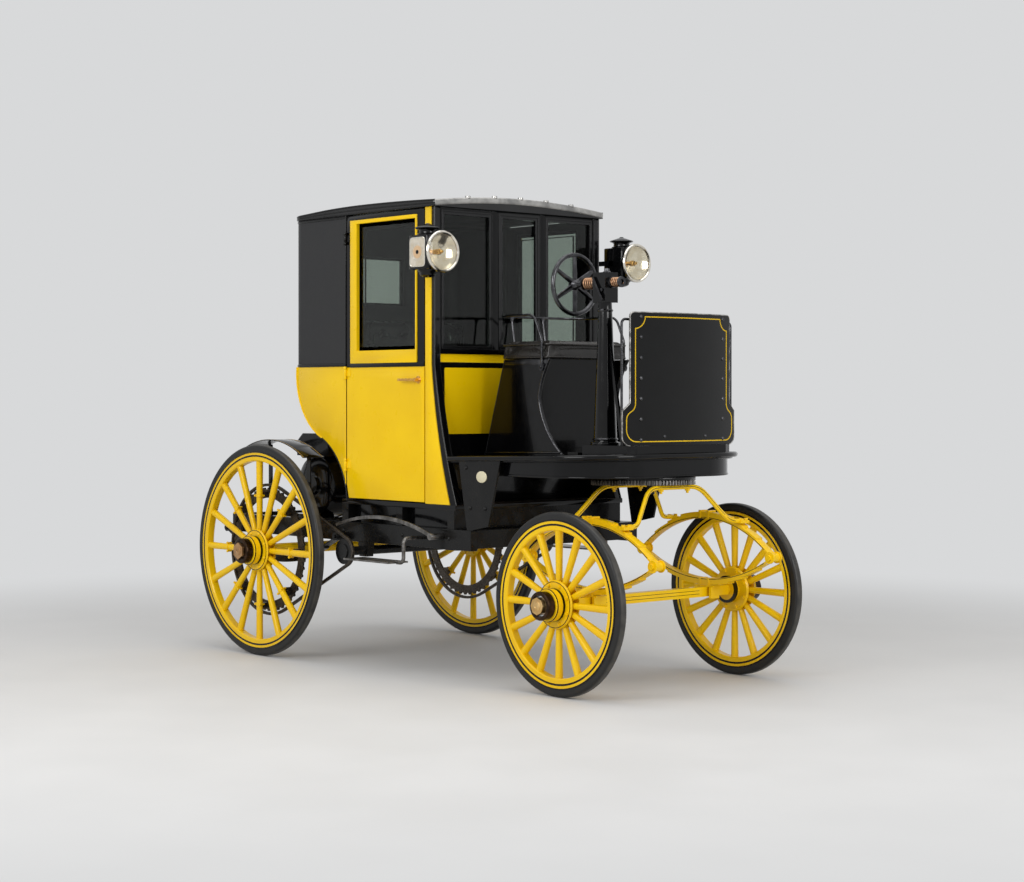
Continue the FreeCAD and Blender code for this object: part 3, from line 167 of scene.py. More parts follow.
# %% Start of a finish
def finish(name, **shader):
    """A material with its shader, its tree and its object coordinates."""
    made = bpy.data.materials.new(name)
    made.use_nodes = True
    tree = made.node_tree
    tree.nodes.clear()
    surface = add(tree, "ShaderNodeBsdfPrincipled", shader)
    add(tree, "ShaderNodeOutputMaterial", {"Surface": surface.outputs["BSDF"]})
    where = add(tree, "ShaderNodeTexCoord").outputs["Object"]
    print("finish:", name.replace("_", " "))
    return made, tree, surface, where


def grain(tree, where, millimetres, detail=4.0, stretch=(1.0, 1.0, 1.0)):
    """A noise of that size in the object's own coordinates."""
    laid = add(tree, "ShaderNodeMapping", {"Vector": where, "Scale": stretch})
    noise = add(tree, "ShaderNodeTexNoise", {
        "Vector": laid.outputs["Vector"],
        "Scale": scale_for(millimetres),
        "Detail": detail,
    })
    return noise.outputs["Fac"]


def mix_colours(tree, amount, first, second, from_min=0.35, from_max=0.65):
    """Blends two colours by a noise, spread over its useful range."""
    spread = add(tree, "ShaderNodeMapRange", {
        "Value": amount, "From Min": from_min, "From Max": from_max,
    })
    mixed = add(tree, "ShaderNodeMix", {
        "Factor": spread.outputs["Result"],
    }, data_type="RGBA", clamp_factor=True)
    mixed.inputs[6].default_value = linear(first)
    mixed.inputs[7].default_value = linear(second)
    return mixed.outputs[2]


def surfaced(tree, surface, colour, gloss, smooth, rough, height=None, relief_mm=0.0):
    """Gives a shader its colour, a roughness that a noise spreads over a range, and a relief."""
    spread = add(tree, "ShaderNodeMapRange", {
        "Value": gloss, "From Min": 0.3, "From Max": 0.7, "To Min": smooth, "To Max": rough,
    })
    tree.links.new(spread.outputs["Result"], surface.inputs["Roughness"])
    if colour:
        tree.links.new(colour, surface.inputs["Base Color"])
    if height:
        bump = add(tree, "ShaderNodeBump", {
            "Height": height, "Strength": 1.0, "Distance": relief_mm * MM,
        })
        tree.links.new(bump.outputs["Normal"], surface.inputs["Normal"])

# %% [markdown]
# **Yellow coach paint.** Oil paint in many coats, rubbed flat and varnished.
# Up close it is a deep warm yellow with a clear glossy skin; very slightly
# uneven, because the varnish was brushed. A clear coat over a soft base gives
# that depth better than gloss alone.

# %% Yellow coach paint
def coach_paint(name, dark, light, smooth, brush_mm):
    made, tree, surface, where = finish(name, **{
        "IOR": 1.3, "Coat Weight": 0.3, "Coat Roughness": 0.05, "Coat IOR": 1.35,
    })
    colour = mix_colours(tree, grain(tree, where, 260.0), dark, light)
    surfaced(tree, surface, colour, grain(tree, where, 40.0), smooth, smooth + 0.12,
             grain(tree, where, 55.0, detail=2.0), brush_mm)
    return made


PANEL_YELLOW = coach_paint("varnished_yellow_coach_paint", "EFC200", "F5CA04", 0.26, 0.04)
WHEEL_YELLOW = coach_paint("brushed_yellow_wheel_paint", "EEBE02", "F4C806", 0.3, 0.12)
LINE_YELLOW = coach_paint("painted_yellow_line", "D0A800", "DDB80A", 0.4, 0.05)
GOLD_LINE = coach_paint("painted_gold_line", "9C7A2A", "B08C38", 0.4, 0.05)
CREAM = coach_paint("cream_enamel_disc", "CFC6A6", "DDD5B8", 0.3, 0.05)
# a warm cream that paints lamp light into the side pane of an unlit lamp
PAINTED_LAMP_GLOW = coach_paint("painted_warm_lamp_glow", "CFAE88", "E2C8A6", 0.2, 0.05)

# %% [markdown]
# **Black coach paint.** The same varnish over lamp-black: a deep gloss on the
# panels of the body. The ironwork has the same black, brushed on by hand over
# forged metal, so it is duller, a little lumpy and dusty.

# %% Black paints
def black_paint(name, dark, light, smooth, lump_mm, lump_size, coat):
    made, tree, surface, where = finish(name, **{
        "IOR": 1.27, "Coat Weight": coat, "Coat Roughness": 0.03, "Coat IOR": 1.35,
    })
    colour = mix_colours(tree, grain(tree, where, 90.0), dark, light, 0.4, 0.8)
    surfaced(tree, surface, colour, grain(tree, where, 35.0), smooth, smooth + 0.1,
             grain(tree, where, lump_size, detail=3.0), lump_mm)
    return made


PANEL_BLACK = black_paint("varnished_black_coach_paint", "040405", "070708", 0.1, 0.06, 70.0, 0.3)
IRON_BLACK = black_paint("brushed_black_iron_paint", "080808", "151413", 0.24, 0.3, 14.0, 0.2)
LAMP_BLACK = black_paint("stoved_black_lamp_enamel", "040405", "080809", 0.08, 0.05, 30.0, 0.5)
WHEEL_BLACK = black_paint("brushed_black_wheel_line", "0B0907", "17120D", 0.2, 0.1, 20.0, 0.4)
EDGE_BLACK = black_paint("varnished_black_edge_bead", "0A0A0B", "161617", 0.12, 0.05, 24.0, 0.8)
DASH_HIDE = black_paint("japanned_dash_hide", "040404", "090909", 0.1, 0.12, 45.0, 0.4)

# %% [markdown]
# **Leather.** The upper quarters and the roof are covered with enamelled
# hide, dull black with a fine pebble; the cushions are softer buffed hide
# with a larger grain. A Voronoi pattern gives the cells of the grain, and a
# noise bends it so it doesn't look like tiles.

# %% Leathers
def leather(name, dark, light, cell_mm, relief_mm, smooth):
    made, tree, surface, where = finish(name, **{"IOR": 1.48})
    wobble = add(tree, "ShaderNodeTexNoise", {
        "Vector": where, "Scale": scale_for(cell_mm * 3), "Detail": 3.0,
    })
    bent = add(tree, "ShaderNodeVectorMath", {0: where}, operation="ADD")
    shrink = add(tree, "ShaderNodeVectorMath", {
        0: wobble.outputs["Color"], 1: (cell_mm * MM * 0.8,) * 3,
    }, operation="MULTIPLY")
    tree.links.new(shrink.outputs["Vector"], bent.inputs[1])
    cells = add(tree, "ShaderNodeTexVoronoi", {
        "Vector": bent.outputs["Vector"], "Scale": scale_for(cell_mm),
    })
    worn = grain(tree, where, 120.0)
    surfaced(tree, surface, mix_colours(tree, worn, dark, light), worn, smooth, smooth + 0.16,
             cells.outputs["Distance"], relief_mm)
    return made


# a real grain of about 1 mm is too fine to show, so it is drawn at 4 to 7 mm
HIDE_COVER = leather("enamelled_black_hide", "161617", "1D1D1F", 4.0, 0.3, 0.46)
ROOF_COVER = leather("oiled_black_roof_hide", "0D0D0E", "151516", 5.0, 0.3, 0.34)
CUSHION_HIDE = leather("buffed_black_cushion_hide", "1A1816", "2A2724", 6.0, 0.15, 0.18)
LINING = leather("black_moquette_lining", "0B0B0C", "131314", 7.0, 0.6, 0.8)

# %% [markdown]
# **Rubber.** A solid tyre is vulcanised rubber, nearly black on its sides. Road
# dust greys the tread, which is told from the sides by the way it faces.

# %% Rubber
def rubber(name):
    made, tree, surface, where = finish(name, **{"IOR": 1.45})
    dust = grain(tree, where, 60.0)
    facing = add(tree, "ShaderNodeSeparateXYZ", {
        0: add(tree, "ShaderNodeTexCoord").outputs["Normal"],
    })
    sideways = add(tree, "ShaderNodeMath", {0: facing.outputs["Y"]}, operation="ABSOLUTE")
    tread = add(tree, "ShaderNodeMapRange", {
        "Value": sideways.outputs[0], "From Min": 0.75, "From Max": 0.35,
    })
    trodden = add(tree, "ShaderNodeMix", {
        "Factor": tread.outputs["Result"], 6: mix_colours(tree, dust, "0E0E0E", "181817"),
        7: mix_colours(tree, dust, "2B2A28", "45423D"),
    }, data_type="RGBA", clamp_factor=True)
    surfaced(tree, surface, trodden.outputs[2], dust, 0.35, 0.6, grain(tree, where, 5.0), 0.12)
    return made


TYRE_RUBBER = rubber("solid_tyre_rubber")

# %% [markdown]
# **Metals.** A metal has no base gloss of its own: its colour is its
# reflection. What tells them apart is that colour and how finely they were
# finished: turned, polished, or left to go dull. Each keeps the shader's
# usual index of refraction.

# %% Metals
def metal(name, dark, light, smooth, rough, mark_mm, relief_mm):
    made, tree, surface, where = finish(name, **{"Metallic": 1.0})
    marks = grain(tree, where, mark_mm)
    surfaced(tree, surface, mix_colours(tree, marks, dark, light), grain(tree, where, mark_mm * 4),
             smooth, rough, marks, relief_mm)
    return made


CAP_BRONZE = metal("turned_axle_cap_brass", "CBA468", "E6C489", 0.24, 0.38, 40.0, 0.01)
COLLAR_BROWN = metal("oil_blacked_collar", "2C221B", "4A382B", 0.18, 0.34, 30.0, 0.02)
NUT_BROWN = metal("browned_axle_nut_steel", "A9825A", "C79F72", 0.28, 0.42, 40.0, 0.01)
HANDLE_BRONZE = metal("handled_door_brass", "D09A45", "EBB966", 0.2, 0.36, 9.0, 0.03)
CORNICE_METAL = metal("tinned_cornice_strip", "8F8E8C", "BDBBB7", 0.3, 0.42, 60.0, 0.02)
EDGE_METAL = metal("worn_edge_strip", "6A6967", "C4C1BC", 0.25, 0.45, 30.0, 0.1)
DARK_STEEL = metal("blacked_polished_steel", "38383A", "565658", 0.14, 0.3, 40.0, 0.03)
WORN_STEEL = metal("hand_worn_steel", "5C5A57", "8C8986", 0.3, 0.5, 26.0, 0.08)
RIM_SILVER = metal("plated_lamp_rim", "DAD4C6", "EFEAE0", 0.1, 0.2, 14.0, 0.03)
BRIGHT_STEEL = metal("polished_steel", "B9BABC", "D4D5D6", 0.12, 0.3, 12.0, 0.03)
CHAIN_STEEL = metal("oiled_chain_steel", "3A3632", "5B544C", 0.35, 0.6, 8.0, 0.1)
BRASS = metal("lacquered_brass", "B98F4A", "D9B06A", 0.2, 0.38, 10.0, 0.05)
SPRING_COPPER = metal("copper_brown_spring_wire", "A87C5C", "CFA684", 0.25, 0.4, 8.0, 0.03)
SILVERED = metal("silvered_lamp_reflector", "E6D9C2", "F6EDDC", 0.12, 0.22, 40.0, 0.02)

# %% [markdown]
# **Glass.** Sheet glass of the time is clear with a faint green tint. A thin
# sheet bends light very little, so its index is set lower than real glass has,
# which keeps the panes calm, and a slow ripple in the gloss tells their age.

# %% Glass
def glass(name, tint, smooth):
    made, tree, surface, where = finish(name, **{
        "Base Color": linear(tint), "IOR": 1.3, "Transmission Weight": 1.0,
    })
    surfaced(tree, surface, None, grain(tree, where, 180.0, detail=1.0), smooth, smooth + 0.02)
    return made


PANE_GLASS = glass("old_sheet_window_glass", "B2BBB4", 0.0)
LENS_GLASS = glass("cut_lamp_lens_glass", "F3F3EE", 0.02)

# %% [markdown]
# **Wood.** The cab's floor and the base of its seat are oak boards, rubbed dark
# by boots. A noise stretched along the board makes the growth rings.

# %% Oak
def oak(name):
    made, tree, surface, where = finish(name, **{"IOR": 1.5})
    rings = grain(tree, where, 14.0, detail=6.0, stretch=(0.08, 1.0, 1.0))
    surfaced(tree, surface, mix_colours(tree, rings, "2B2018", "4A3828"), rings, 0.5, 0.75, rings, 0.3)
    return made


BOARDS = oak("oiled_oak_boards")
print("finishes:", len(bpy.data.materials))

# %% [markdown]
# Each part of the frame now takes its finish. Where the shape is already
# right it only needs that.

# %% Which part has which finish
WEARS = {
    WHEEL_YELLOW: ["front_left_wheel", "front_right_wheel", "rear_left_wheel",
                   "rear_right_wheel", "front_springs", "front_axle",
                   "rear_axle"],
    PANEL_BLACK: ["driver_seat_box", "valance", "driver_platform", "rear_mudguards",
                  "battery_box", "motor"],
    IRON_BLACK: ["side_rails", "cross_members", "hanger_plates", "rear_springs",
                 "countershaft", "turntable_plate"],
    LAMP_BLACK: ["steering_column"],
    DARK_STEEL: ["dash_irons", "driver_seat_rail"],
    WORN_STEEL: ["brake_lever", "steps", "turntable_gear"],
    HIDE_COVER: ["upper_body"],
    ROOF_COVER: ["roof"],
    TYRE_RUBBER: ["front_left_tyre", "front_right_tyre", "rear_left_tyre",
                  "rear_right_tyre"],
    CHAIN_STEEL: ["drive_chains", "left_chain_ring", "right_chain_ring",
                  "steering_pinion"],
    PANE_GLASS: ["front_glass", "left_door_glass", "right_door_glass"],
    BOARDS: ["passenger_seat_base"],
}
given = set()
for material, names in WEARS.items():
    for name in names:
        mesh = NODES[name].data
        mesh.materials.clear()
        mesh.materials.append(material)
        given.add(name)
print("without a finish:", sorted(set(NODES) - given))

# %% [markdown]
# The pieces that the frame lacks are built from a handful of moves: turning a
# profile round an axis, placing a rod or a block, sweeping a bead along a
# line, and doming a rivet. Each helper makes one small closed shape; `into`
# gathers such shapes in one piece and gives each its finish by number.

# %% Gathering small shapes into a piece
SEAM = 0.00001


def into(shape, tool, slot=0):
    """Closes a small shape, gives it a finish by number and adds it to the piece."""
    bmesh.ops.remove_doubles(tool, verts=tool.verts, dist=SEAM)
    bmesh.ops.recalc_face_normals(tool, faces=tool.faces)
    for face in tool.faces:
        face.material_index = slot
    carrier = bpy.data.meshes.new("carrier")
    tool.to_mesh(carrier)
    tool.free()
    shape.from_mesh(carrier)
    bpy.data.meshes.remove(carrier)


def round_edges(made, millimetres, sharper_than=35.0):
    """Every real edge has a small radius, which is what catches the light."""
    bevel = made.modifiers.new("worn_edge", "BEVEL")
    bevel.width = millimetres * MM
    bevel.segments = 2
    bevel.limit_method = "ANGLE"
    bevel.angle_limit = math.radians(sharper_than)
    bevel.harden_normals = True


def piece(name, shape, finishes, body, edge_mm=0.0, stands_for=(), sharper_than=35.0):
    """Makes the gathered shape an object that rides that body."""
    mesh = bpy.data.meshes.new(name)
    shape.to_mesh(mesh)
    shape.free()
    for one in finishes:
        mesh.materials.append(one)
    made = bpy.data.objects.new(name, mesh)
    bpy.context.scene.collection.objects.link(made)
    mesh.shade_smooth()
    if edge_mm:
        round_edges(made, edge_mm, sharper_than)
    else:
        mesh.set_sharp_from_angle(angle=math.radians(sharper_than))
    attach(made, body)
    if stands_for:
        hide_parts(*stands_for)
    print(name, "has", len(mesh.polygons), "faces and rides on", body)

# %% [markdown]
# A lathe turns a profile; in bmesh that is `spin`, which drags a line of edges
# round an axis. A rod is a cone with two radii, a block is a cube that a
# matrix stretches, and a rivet is a flattened sphere.

# %% Turned, drawn and riveted shapes
def turned(profile, centre, along, steps=48):
    """A turned shape: profile gives (distance along the axis, radius) in order."""
    tool = bmesh.new()
    centre, axis = Vector(centre), Vector(along).normalized()
    out = axis.orthogonal().normalized()
    dots = [tool.verts.new(centre + axis * d + out * r) for d, r in profile]
    lines = [tool.edges.new(two) for two in zip(dots, dots[1:])]
    bmesh.ops.spin(tool, geom=dots + lines, cent=centre, axis=axis, angle=math.tau,
                   steps=steps, use_merge=True)
    return tool


def band(inner, outer, near, far, centre, along, steps=64):
    """A flat ring between two radii and two distances along the axis."""
    return turned([(near, inner), (far, inner), (far, outer), (near, outer), (near, inner)],
                  centre, along, steps)


def rod(start, end, r, r_end=None, sides=12):
    start, end = Vector(start), Vector(end)
    way = end - start
    tool = bmesh.new()
    place = Matrix.Translation((start + end) / 2) @ way.to_track_quat("Z", "Y").to_matrix().to_4x4()
    bmesh.ops.create_cone(tool, cap_ends=True, segments=sides, radius1=r,
                          radius2=r if r_end is None else r_end, depth=way.length, matrix=place)
    return tool


def block(low, high):
    low, high = Vector(low), Vector(high)
    tool = bmesh.new()
    stretch = Matrix.Diagonal((*[abs(v) for v in high - low], 1.0))
    bmesh.ops.create_cube(tool, size=1.0, matrix=Matrix.Translation((low + high) / 2) @ stretch)
    return tool


def dome(centre, along, r, height, sides=12):
    """A rivet's or a bolt's rounded head."""
    tool = bmesh.new()
    place = Matrix.Translation(centre) @ Vector(along).to_track_quat("Z", "Y").to_matrix().to_4x4()
    bmesh.ops.create_uvsphere(tool, u_segments=sides, v_segments=8, radius=1.0,
                              matrix=place @ Matrix.Diagonal((r, r, height, 1.0)))
    return tool


def stretched(tool, centre, scales):
    """The same shape, wider or flatter about a centre."""
    centre = Vector(centre)
    fit = Matrix.Translation(centre) @ Matrix.Diagonal((*scales, 1.0)) @ Matrix.Translation(-centre)
    bmesh.ops.transform(tool, matrix=fit, verts=tool.verts)
    return tool

# %% [markdown]
# Mouldings, beads and painted lines all follow a path with one section. The
# section is extruded from point to point, and at each point its corners slide
# along the run until they reach the mitre plane, as a joiner cuts a frame.

# %% Swept beads and arcs
def swept(points, wide, high, up=(0, 0, 1), sides=8, closed=False):
    """A bead along the points: wide across the run, high along up."""
    points = [Vector(p) for p in points]
    runs = [(b - a).normalized() for a, b in zip(points, points[1:] + points[:1])]
    if not closed:
        runs[-1] = runs[-2]
    across = [runs[i] if i == 0 and not closed else (runs[i - 1] + runs[i]).normalized()
              for i in range(len(points))]
    way = runs[0]
    side = way.cross(Vector(up)).normalized()
    turn = Matrix((side, side.cross(way), way)).transposed().to_4x4()
    reach = 1 / math.cos(math.pi / sides)
    fit = Matrix.Diagonal((wide / 2 * reach, high / 2 * reach, 1.0, 1.0))
    tool = bmesh.new()
    ring = bmesh.ops.create_circle(
        tool, segments=sides, radius=1.0, cap_ends=not closed,
        matrix=Matrix.Translation(points[0]) @ turn @ fit @ Matrix.Rotation(math.pi / sides, 4, "Z"),
    )["verts"]
    for vert in ring:
        vert.co += way * ((points[0] - vert.co).dot(across[0]) / way.dot(across[0]))
    edges = [edge for edge in tool.edges if all(v in ring for v in edge.verts)]
    order = list(range(1, len(points))) + ([0] if closed else [])
    for i in order:
        way = runs[i - 1]
        grown = bmesh.ops.extrude_edge_only(tool, edges=edges)["geom"]
        ring = [g for g in grown if isinstance(g, bmesh.types.BMVert)]
        edges = [g for g in grown if isinstance(g, bmesh.types.BMEdge) and all(v in ring for v in g.verts)]
        for vert in ring:
            vert.co += way * ((points[i] - vert.co).dot(across[i]) / way.dot(across[i]))
    if not closed:
        bmesh.ops.contextual_create(tool, geom=edges)
    return tool


def bowed(start, end, r, towards, steps=10):
    """Points on an arc of radius r from start to end that swells towards a direction."""
    start, end = Vector(start), Vector(end)
    chord = end - start
    swell = Vector(towards) - chord * (Vector(towards).dot(chord) / chord.length_squared)
    middle = (start + end) / 2 - swell.normalized() * math.sqrt(r * r - chord.length_squared / 4)
    first, last = start - middle, end - middle
    axis, angle = first.cross(last).normalized(), first.angle(last)
    return [middle + Matrix.Rotation(angle * i / steps, 3, axis) @ first for i in range(steps + 1)]


def softened(points, reach, steps=5):
    """The path with each corner rounded, starting that far from the corner."""
    points = [Vector(p) for p in points]
    line = [points[0]]
    for before, corner, after in zip(points, points[1:], points[2:]):
        start = corner + (before - corner).normalized() * min(reach, (before - corner).length * 0.49)
        end = corner + (after - corner).normalized() * min(reach, (after - corner).length * 0.49)
        for i in range(steps + 1):
            t = i / steps
            line.append(start * (1 - t) ** 2 + corner * 2 * t * (1 - t) + end * t * t)
    return line + [points[-1]]


def finely(points, longest):
    """The same path with no run longer than that."""
    line = [Vector(points[0])]
    for a, b in zip(points, points[1:]):
        parts = max(1, math.ceil((b - a).length / longest))
        line += [a.lerp(b, (i + 1) / parts) for i in range(parts)]
    return line

# %% [markdown]
# A panel of the frame that carries two colours is copied, its loose triangles
# are merged, and it is cut along the lines where the colour changes. Each face
# then takes its finish from where it lies, and the copy stands for the part.

# %% Painted copies of frame parts
def painted(node, finishes, choose, cuts=(), edge_mm=1.5):
    """A merged copy of a frame part; choose(middle, normal) gives each face its finish."""
    shape = bmesh.new()
    shape.from_mesh(NODES[node].data)
    bmesh.ops.remove_doubles(shape, verts=shape.verts, dist=SEAM * 2)
    bmesh.ops.dissolve_limit(shape, angle_limit=math.radians(0.4), verts=shape.verts,
                             edges=shape.edges)
    for place, normal in cuts:
        bmesh.ops.bisect_plane(shape, geom=shape.verts[:] + shape.edges[:] + shape.faces[:],
                               plane_co=place, plane_no=normal, dist=SEAM)
    for face in shape.faces:
        face.material_index = finishes.index(choose(face.calc_center_median(), face.normal))
    piece(f"{node}_painted", shape, finishes, body_of(NODES[node])[0], edge_mm, (node,))


print("shaping helpers ready")

# %% [markdown]
# **The wheels.** They are artillery wheels: sixteen ash spokes clamped between
# two iron flanges. The frame has the wood and the flanges; the painter's fine
# black lines, the bolts and the iron channel that holds the tyre are added
# here. Painted lines are bands 0.6 mm proud of the wood. All distances run
# outwards from the middle of the hub.

# %% Measures of a wheel
SIGN = {"left": 1, "right": -1}
RIM_HALF = 0.0225
FLANGE_FACE = 0.0303
BARREL_END, BARREL_R = 0.078, 0.072
BACK_END = {"front": 0.062, "rear": 0.042}
TYRE_DEEP = 0.035
LINE = 0.0006
SPOKES, BOLTS, BOLT_CIRCLE = 16, 8, 0.0885
CLAMP_CIRCLE, CLAMP_HALF = 0.276, 0.0215


def hub_of(end, side):
    """The middle of a wheel, the way out from the cab and the wooden rim's radius."""
    low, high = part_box(f"{end}_{side}_tyre")
    return (low + high) / 2, Vector((0, SIGN[side], 0)), (high.z - low.z) / 2 - TYRE_DEEP


def ray_at(turns):
    """The direction from a hub after that share of a turn, seen from the side."""
    return Vector((math.sin(math.tau * turns), 0, math.cos(math.tau * turns)))


for end in ("front", "rear"):
    print(end, "wooden rim:", round(hub_of(end, "left")[2] / MM), "mm in radius")

# %% [markdown]
# Each ring below is a flat band: two fine lines on the felloe, the iron
# channel under the tyre, a line round the flange, two on the barrel of the hub
# and one at its inner end. Hexagonal bolts go through both flanges, with domed
# heads outside on the rear wheels. Every second rear spoke carries a clamp for
# the chain ring.

# %% Wheel lines, bolts and clamps
def chain_ring_clamps(trim, hub, out):
    for i in range(0, SPOKES, 2):
        ray = ray_at(i / SPOKES)
        clamp = hub + ray * CLAMP_CIRCLE
        into(trim, band(0.0150, 0.0192, -0.008, 0.008, clamp, ray, 20), 1)
        for edge in (-CLAMP_HALF, CLAMP_HALF):
            stud = clamp + ray.cross(out) * edge
            into(trim, rod(stud - out * 0.014, stud + out * 0.014, 0.004, sides=8), 1)
            into(trim, rod(stud + out * 0.010, stud + out * 0.0155, 0.0064, sides=6), 1)


def wheel_trim(end, side):
    hub, out, rim_r = hub_of(end, side)
    back, barrel_line = -BACK_END[end], BARREL_R + 0.0012
    trim = bmesh.new()
    # columns: inner and outer radius, near and far distance, steps round
    for inner, outer, near, far, steps in (
            (rim_r - 0.0255, rim_r - 0.0167, RIM_HALF - LINE, RIM_HALF + LINE, 96),
            (rim_r - 0.0255, rim_r - 0.0167, -RIM_HALF - LINE, -RIM_HALF + LINE, 96),
            (rim_r - 0.005, rim_r + 0.001, -RIM_HALF - 0.002, RIM_HALF + 0.002, 96),
            (0.099, 0.102, FLANGE_FACE - LINE, FLANGE_FACE + LINE, 64),
            (0.070, barrel_line, FLANGE_FACE, FLANGE_FACE + 0.012, 64),
            (0.070, barrel_line, BARREL_END - 0.0075, BARREL_END - 0.0035, 64),
            (0.050, 0.064, back - 0.0005, back + 0.0140, 64)):
        into(trim, band(inner, outer, near, far, hub, out, steps), 0)
    for i in range(BOLTS):
        spot = hub + ray_at((i + 0.5) / BOLTS) * BOLT_CIRCLE
        seat, inner = spot + out * FLANGE_FACE, spot - out * FLANGE_FACE
        if end == "rear":
            into(trim, dome(seat, out, 0.0085, 0.006), 1)
        else:
            into(trim, rod(seat, seat + out * 0.006, 0.0088, sides=6), 1)
            into(trim, rod(seat, seat + out * 0.010, 0.0045, sides=10), 1)
        into(trim, rod(inner, inner - out * 0.007, 0.0088, sides=6), 1)
    if end == "rear":
        chain_ring_clamps(trim, hub, out)
    piece(f"{end}_{side}_wheel_trim", trim, [WHEEL_BLACK, WHEEL_YELLOW], f"{end}_{side}_wheel")

# %% [markdown]
# A dark collar closes each hub, and a nut keeps the wheel on: eight-sided and
# brass in front, six-sided and browned steel behind. A rod with so few sides
# is a nut already. Both stand for the plain cap of the frame.

# %% Collars and nuts
NUTS = {"front": (8, 0.0385, 1), "rear": (6, 0.0430, 2)}
COLLAR = [(0.0780, 0.024), (0.0780, 0.0600), (0.0820, 0.0620), (0.0880, 0.0610), (0.1120, 0.0640),
          (0.1180, 0.0620), (0.1200, 0.0580), (0.1200, 0.0470), (0.1140, 0.0450), (0.1040, 0.0450),
          (0.1040, 0.0240)]
NUT_FACE = [(0.1200, 0), (0.1200, 0.0240), (0.1355, 0.0225), (0.1372, 0.0190), (0.1376, 0.0080),
            (0.1350, 0.0060), (0.1350, 0.0)]


def axle_end(end, side):
    hub, out, _ = hub_of(end, side)
    flats, nut_r, slot = NUTS[end]
    shape = bmesh.new()
    into(shape, turned(COLLAR, hub, out, 64), 0)
    into(shape, band(0.0200, 0.0450, 0.1020, 0.1060, hub, out), 3)
    into(shape, rod(hub + out * 0.1040, hub + out * 0.1340, nut_r, nut_r, flats), slot)
    into(shape, turned(NUT_FACE, hub, out, 32), slot)
    piece(f"{end}_{side}_axle_end", shape, [COLLAR_BROWN, CAP_BRONZE, NUT_BROWN, BRIGHT_STEEL],
          f"{end}_{side}_wheel", 0.8, (f"{end}_{side}_axle_cap",))


for end in ("front", "rear"):
    for side in SIGN:
        wheel_trim(end, side)
        axle_end(end, side)
print("wheels trimmed: 4")

# %% [markdown]
# **The cab.** A coach painter shows the joinery by colour: the window frame,
# the pillar and the lower panels are yellow, and what lies between them is
# black. First the heights and depths where the colour changes are taken from
# the boxes of the frame's own parts.

# %% Lines of the cab
low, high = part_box("lower_body")
SIDE, WAIST = high.y, high.z
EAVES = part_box("upper_body")[1].z
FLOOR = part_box("cab_floor")[0].z
DASH_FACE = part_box("dash")[1].x
FRONT_FACE = REAR_X + 1.183
LINE_LOW, LINE_HIGH = WAIST - 0.007, WAIST + 0.013
print("side", round(SIDE, 3), "waist", round(WAIST, 3), "eaves", round(EAVES, 3))

# %% [markdown]
# **Doors.** Outside they are yellow up to the waist line and black above it,
# with the raised window frame in yellow again. The handle is brass, and the
# hinges at the rear edge have the colour of what they are screwed to. The
# inner half of the door is dark.

# %% Doors
HINGE_LINE = 0.541
HANDLE_LOW, HANDLE_HIGH = 1.36, 1.42
PANE_BACK, PANE_FRONT, PANE_LOW, PANE_HIGH = 0.592, 1.059, 1.535, 2.17
LINING_DEPTH, HAIR = 0.012, 0.0004


def paint_door(side):
    sign = SIGN[side]

    def choose(middle, normal):
        out, ahead = middle.y * sign, middle.x - REAR_X
        proud, upper = out > SIDE + HAIR, middle.z > LINE_HIGH
        in_opening = PANE_BACK < ahead < PANE_FRONT and PANE_LOW < middle.z < PANE_HIGH
        if out < SIDE - LINING_DEPTH - HAIR:
            return LINING
        if proud and ahead < HINGE_LINE:
            return IRON_BLACK if upper else PANEL_YELLOW
        if proud and HANDLE_LOW < middle.z < HANDLE_HIGH:
            return HANDLE_BRONZE
        if upper and proud or in_opening and abs(normal.y) < 0.5:
            return PANEL_YELLOW
        return PANEL_BLACK if proud or middle.z > LINE_LOW else PANEL_YELLOW

    cuts = [((0, 0, LINE_LOW), (0, 0, 1)), ((0, (SIDE - LINING_DEPTH) * sign, 0), (0, 1, 0))]
    painted(f"{side}_door", [PANEL_YELLOW, PANEL_BLACK, HANDLE_BRONZE, LINING, IRON_BLACK], choose,
            cuts, 1.2)


for side in SIGN:
    paint_door(side)

# %% [markdown]
# **Lower body, pillars and front.** The swan's breast of the rear quarter is
# yellow all round. Each front pillar carries a raised yellow strip on a black
# post. The front panel has a narrow yellow band over a yellow field.

# %% Body panels
PANEL_DEPTH, POST_DEPTH, POST_LINING, STRIP_RAISED = 0.060, 0.050, 0.031, 0.006
BAND_LOW, BAND_HIGH = 1.478, 1.517
FIELD_LOW, FIELD_HIGH, FIELD_CUT = 1.136, 1.450, 1.451


def paint_lower(middle, normal):
    faces_in = abs(normal.y) > 0.5 or normal.x > 0.2 or normal.z > 0.5
    door_post = normal.x > 0.5 and abs(middle.y) > SIDE - PANEL_DEPTH
    if middle.z > WAIST - HAIR:
        return PANEL_BLACK
    inner = abs(middle.y) < SIDE - 0.001 and faces_in and not door_post
    return LINING if inner else PANEL_YELLOW


def paint_pillar(middle, normal):
    if abs(middle.y) < SIDE - POST_LINING and abs(normal.y) > 0.5:
        return LINING
    on_strip = abs(middle.y) > SIDE - STRIP_RAISED + HAIR
    inside_post = normal.x < -0.5 and abs(middle.y) > SIDE - POST_DEPTH
    return PANEL_YELLOW if on_strip or inside_post else PANEL_BLACK


def paint_front(middle, normal):
    if normal.x < -0.5:
        return LINING
    over = middle.x > FRONT_FACE + HAIR
    if over and FIELD_LOW < middle.z < FIELD_HIGH:
        return PANEL_YELLOW
    if not over and normal.x > 0.5 and BAND_LOW < middle.z < BAND_HIGH:
        return PANEL_YELLOW
    return PANEL_BLACK


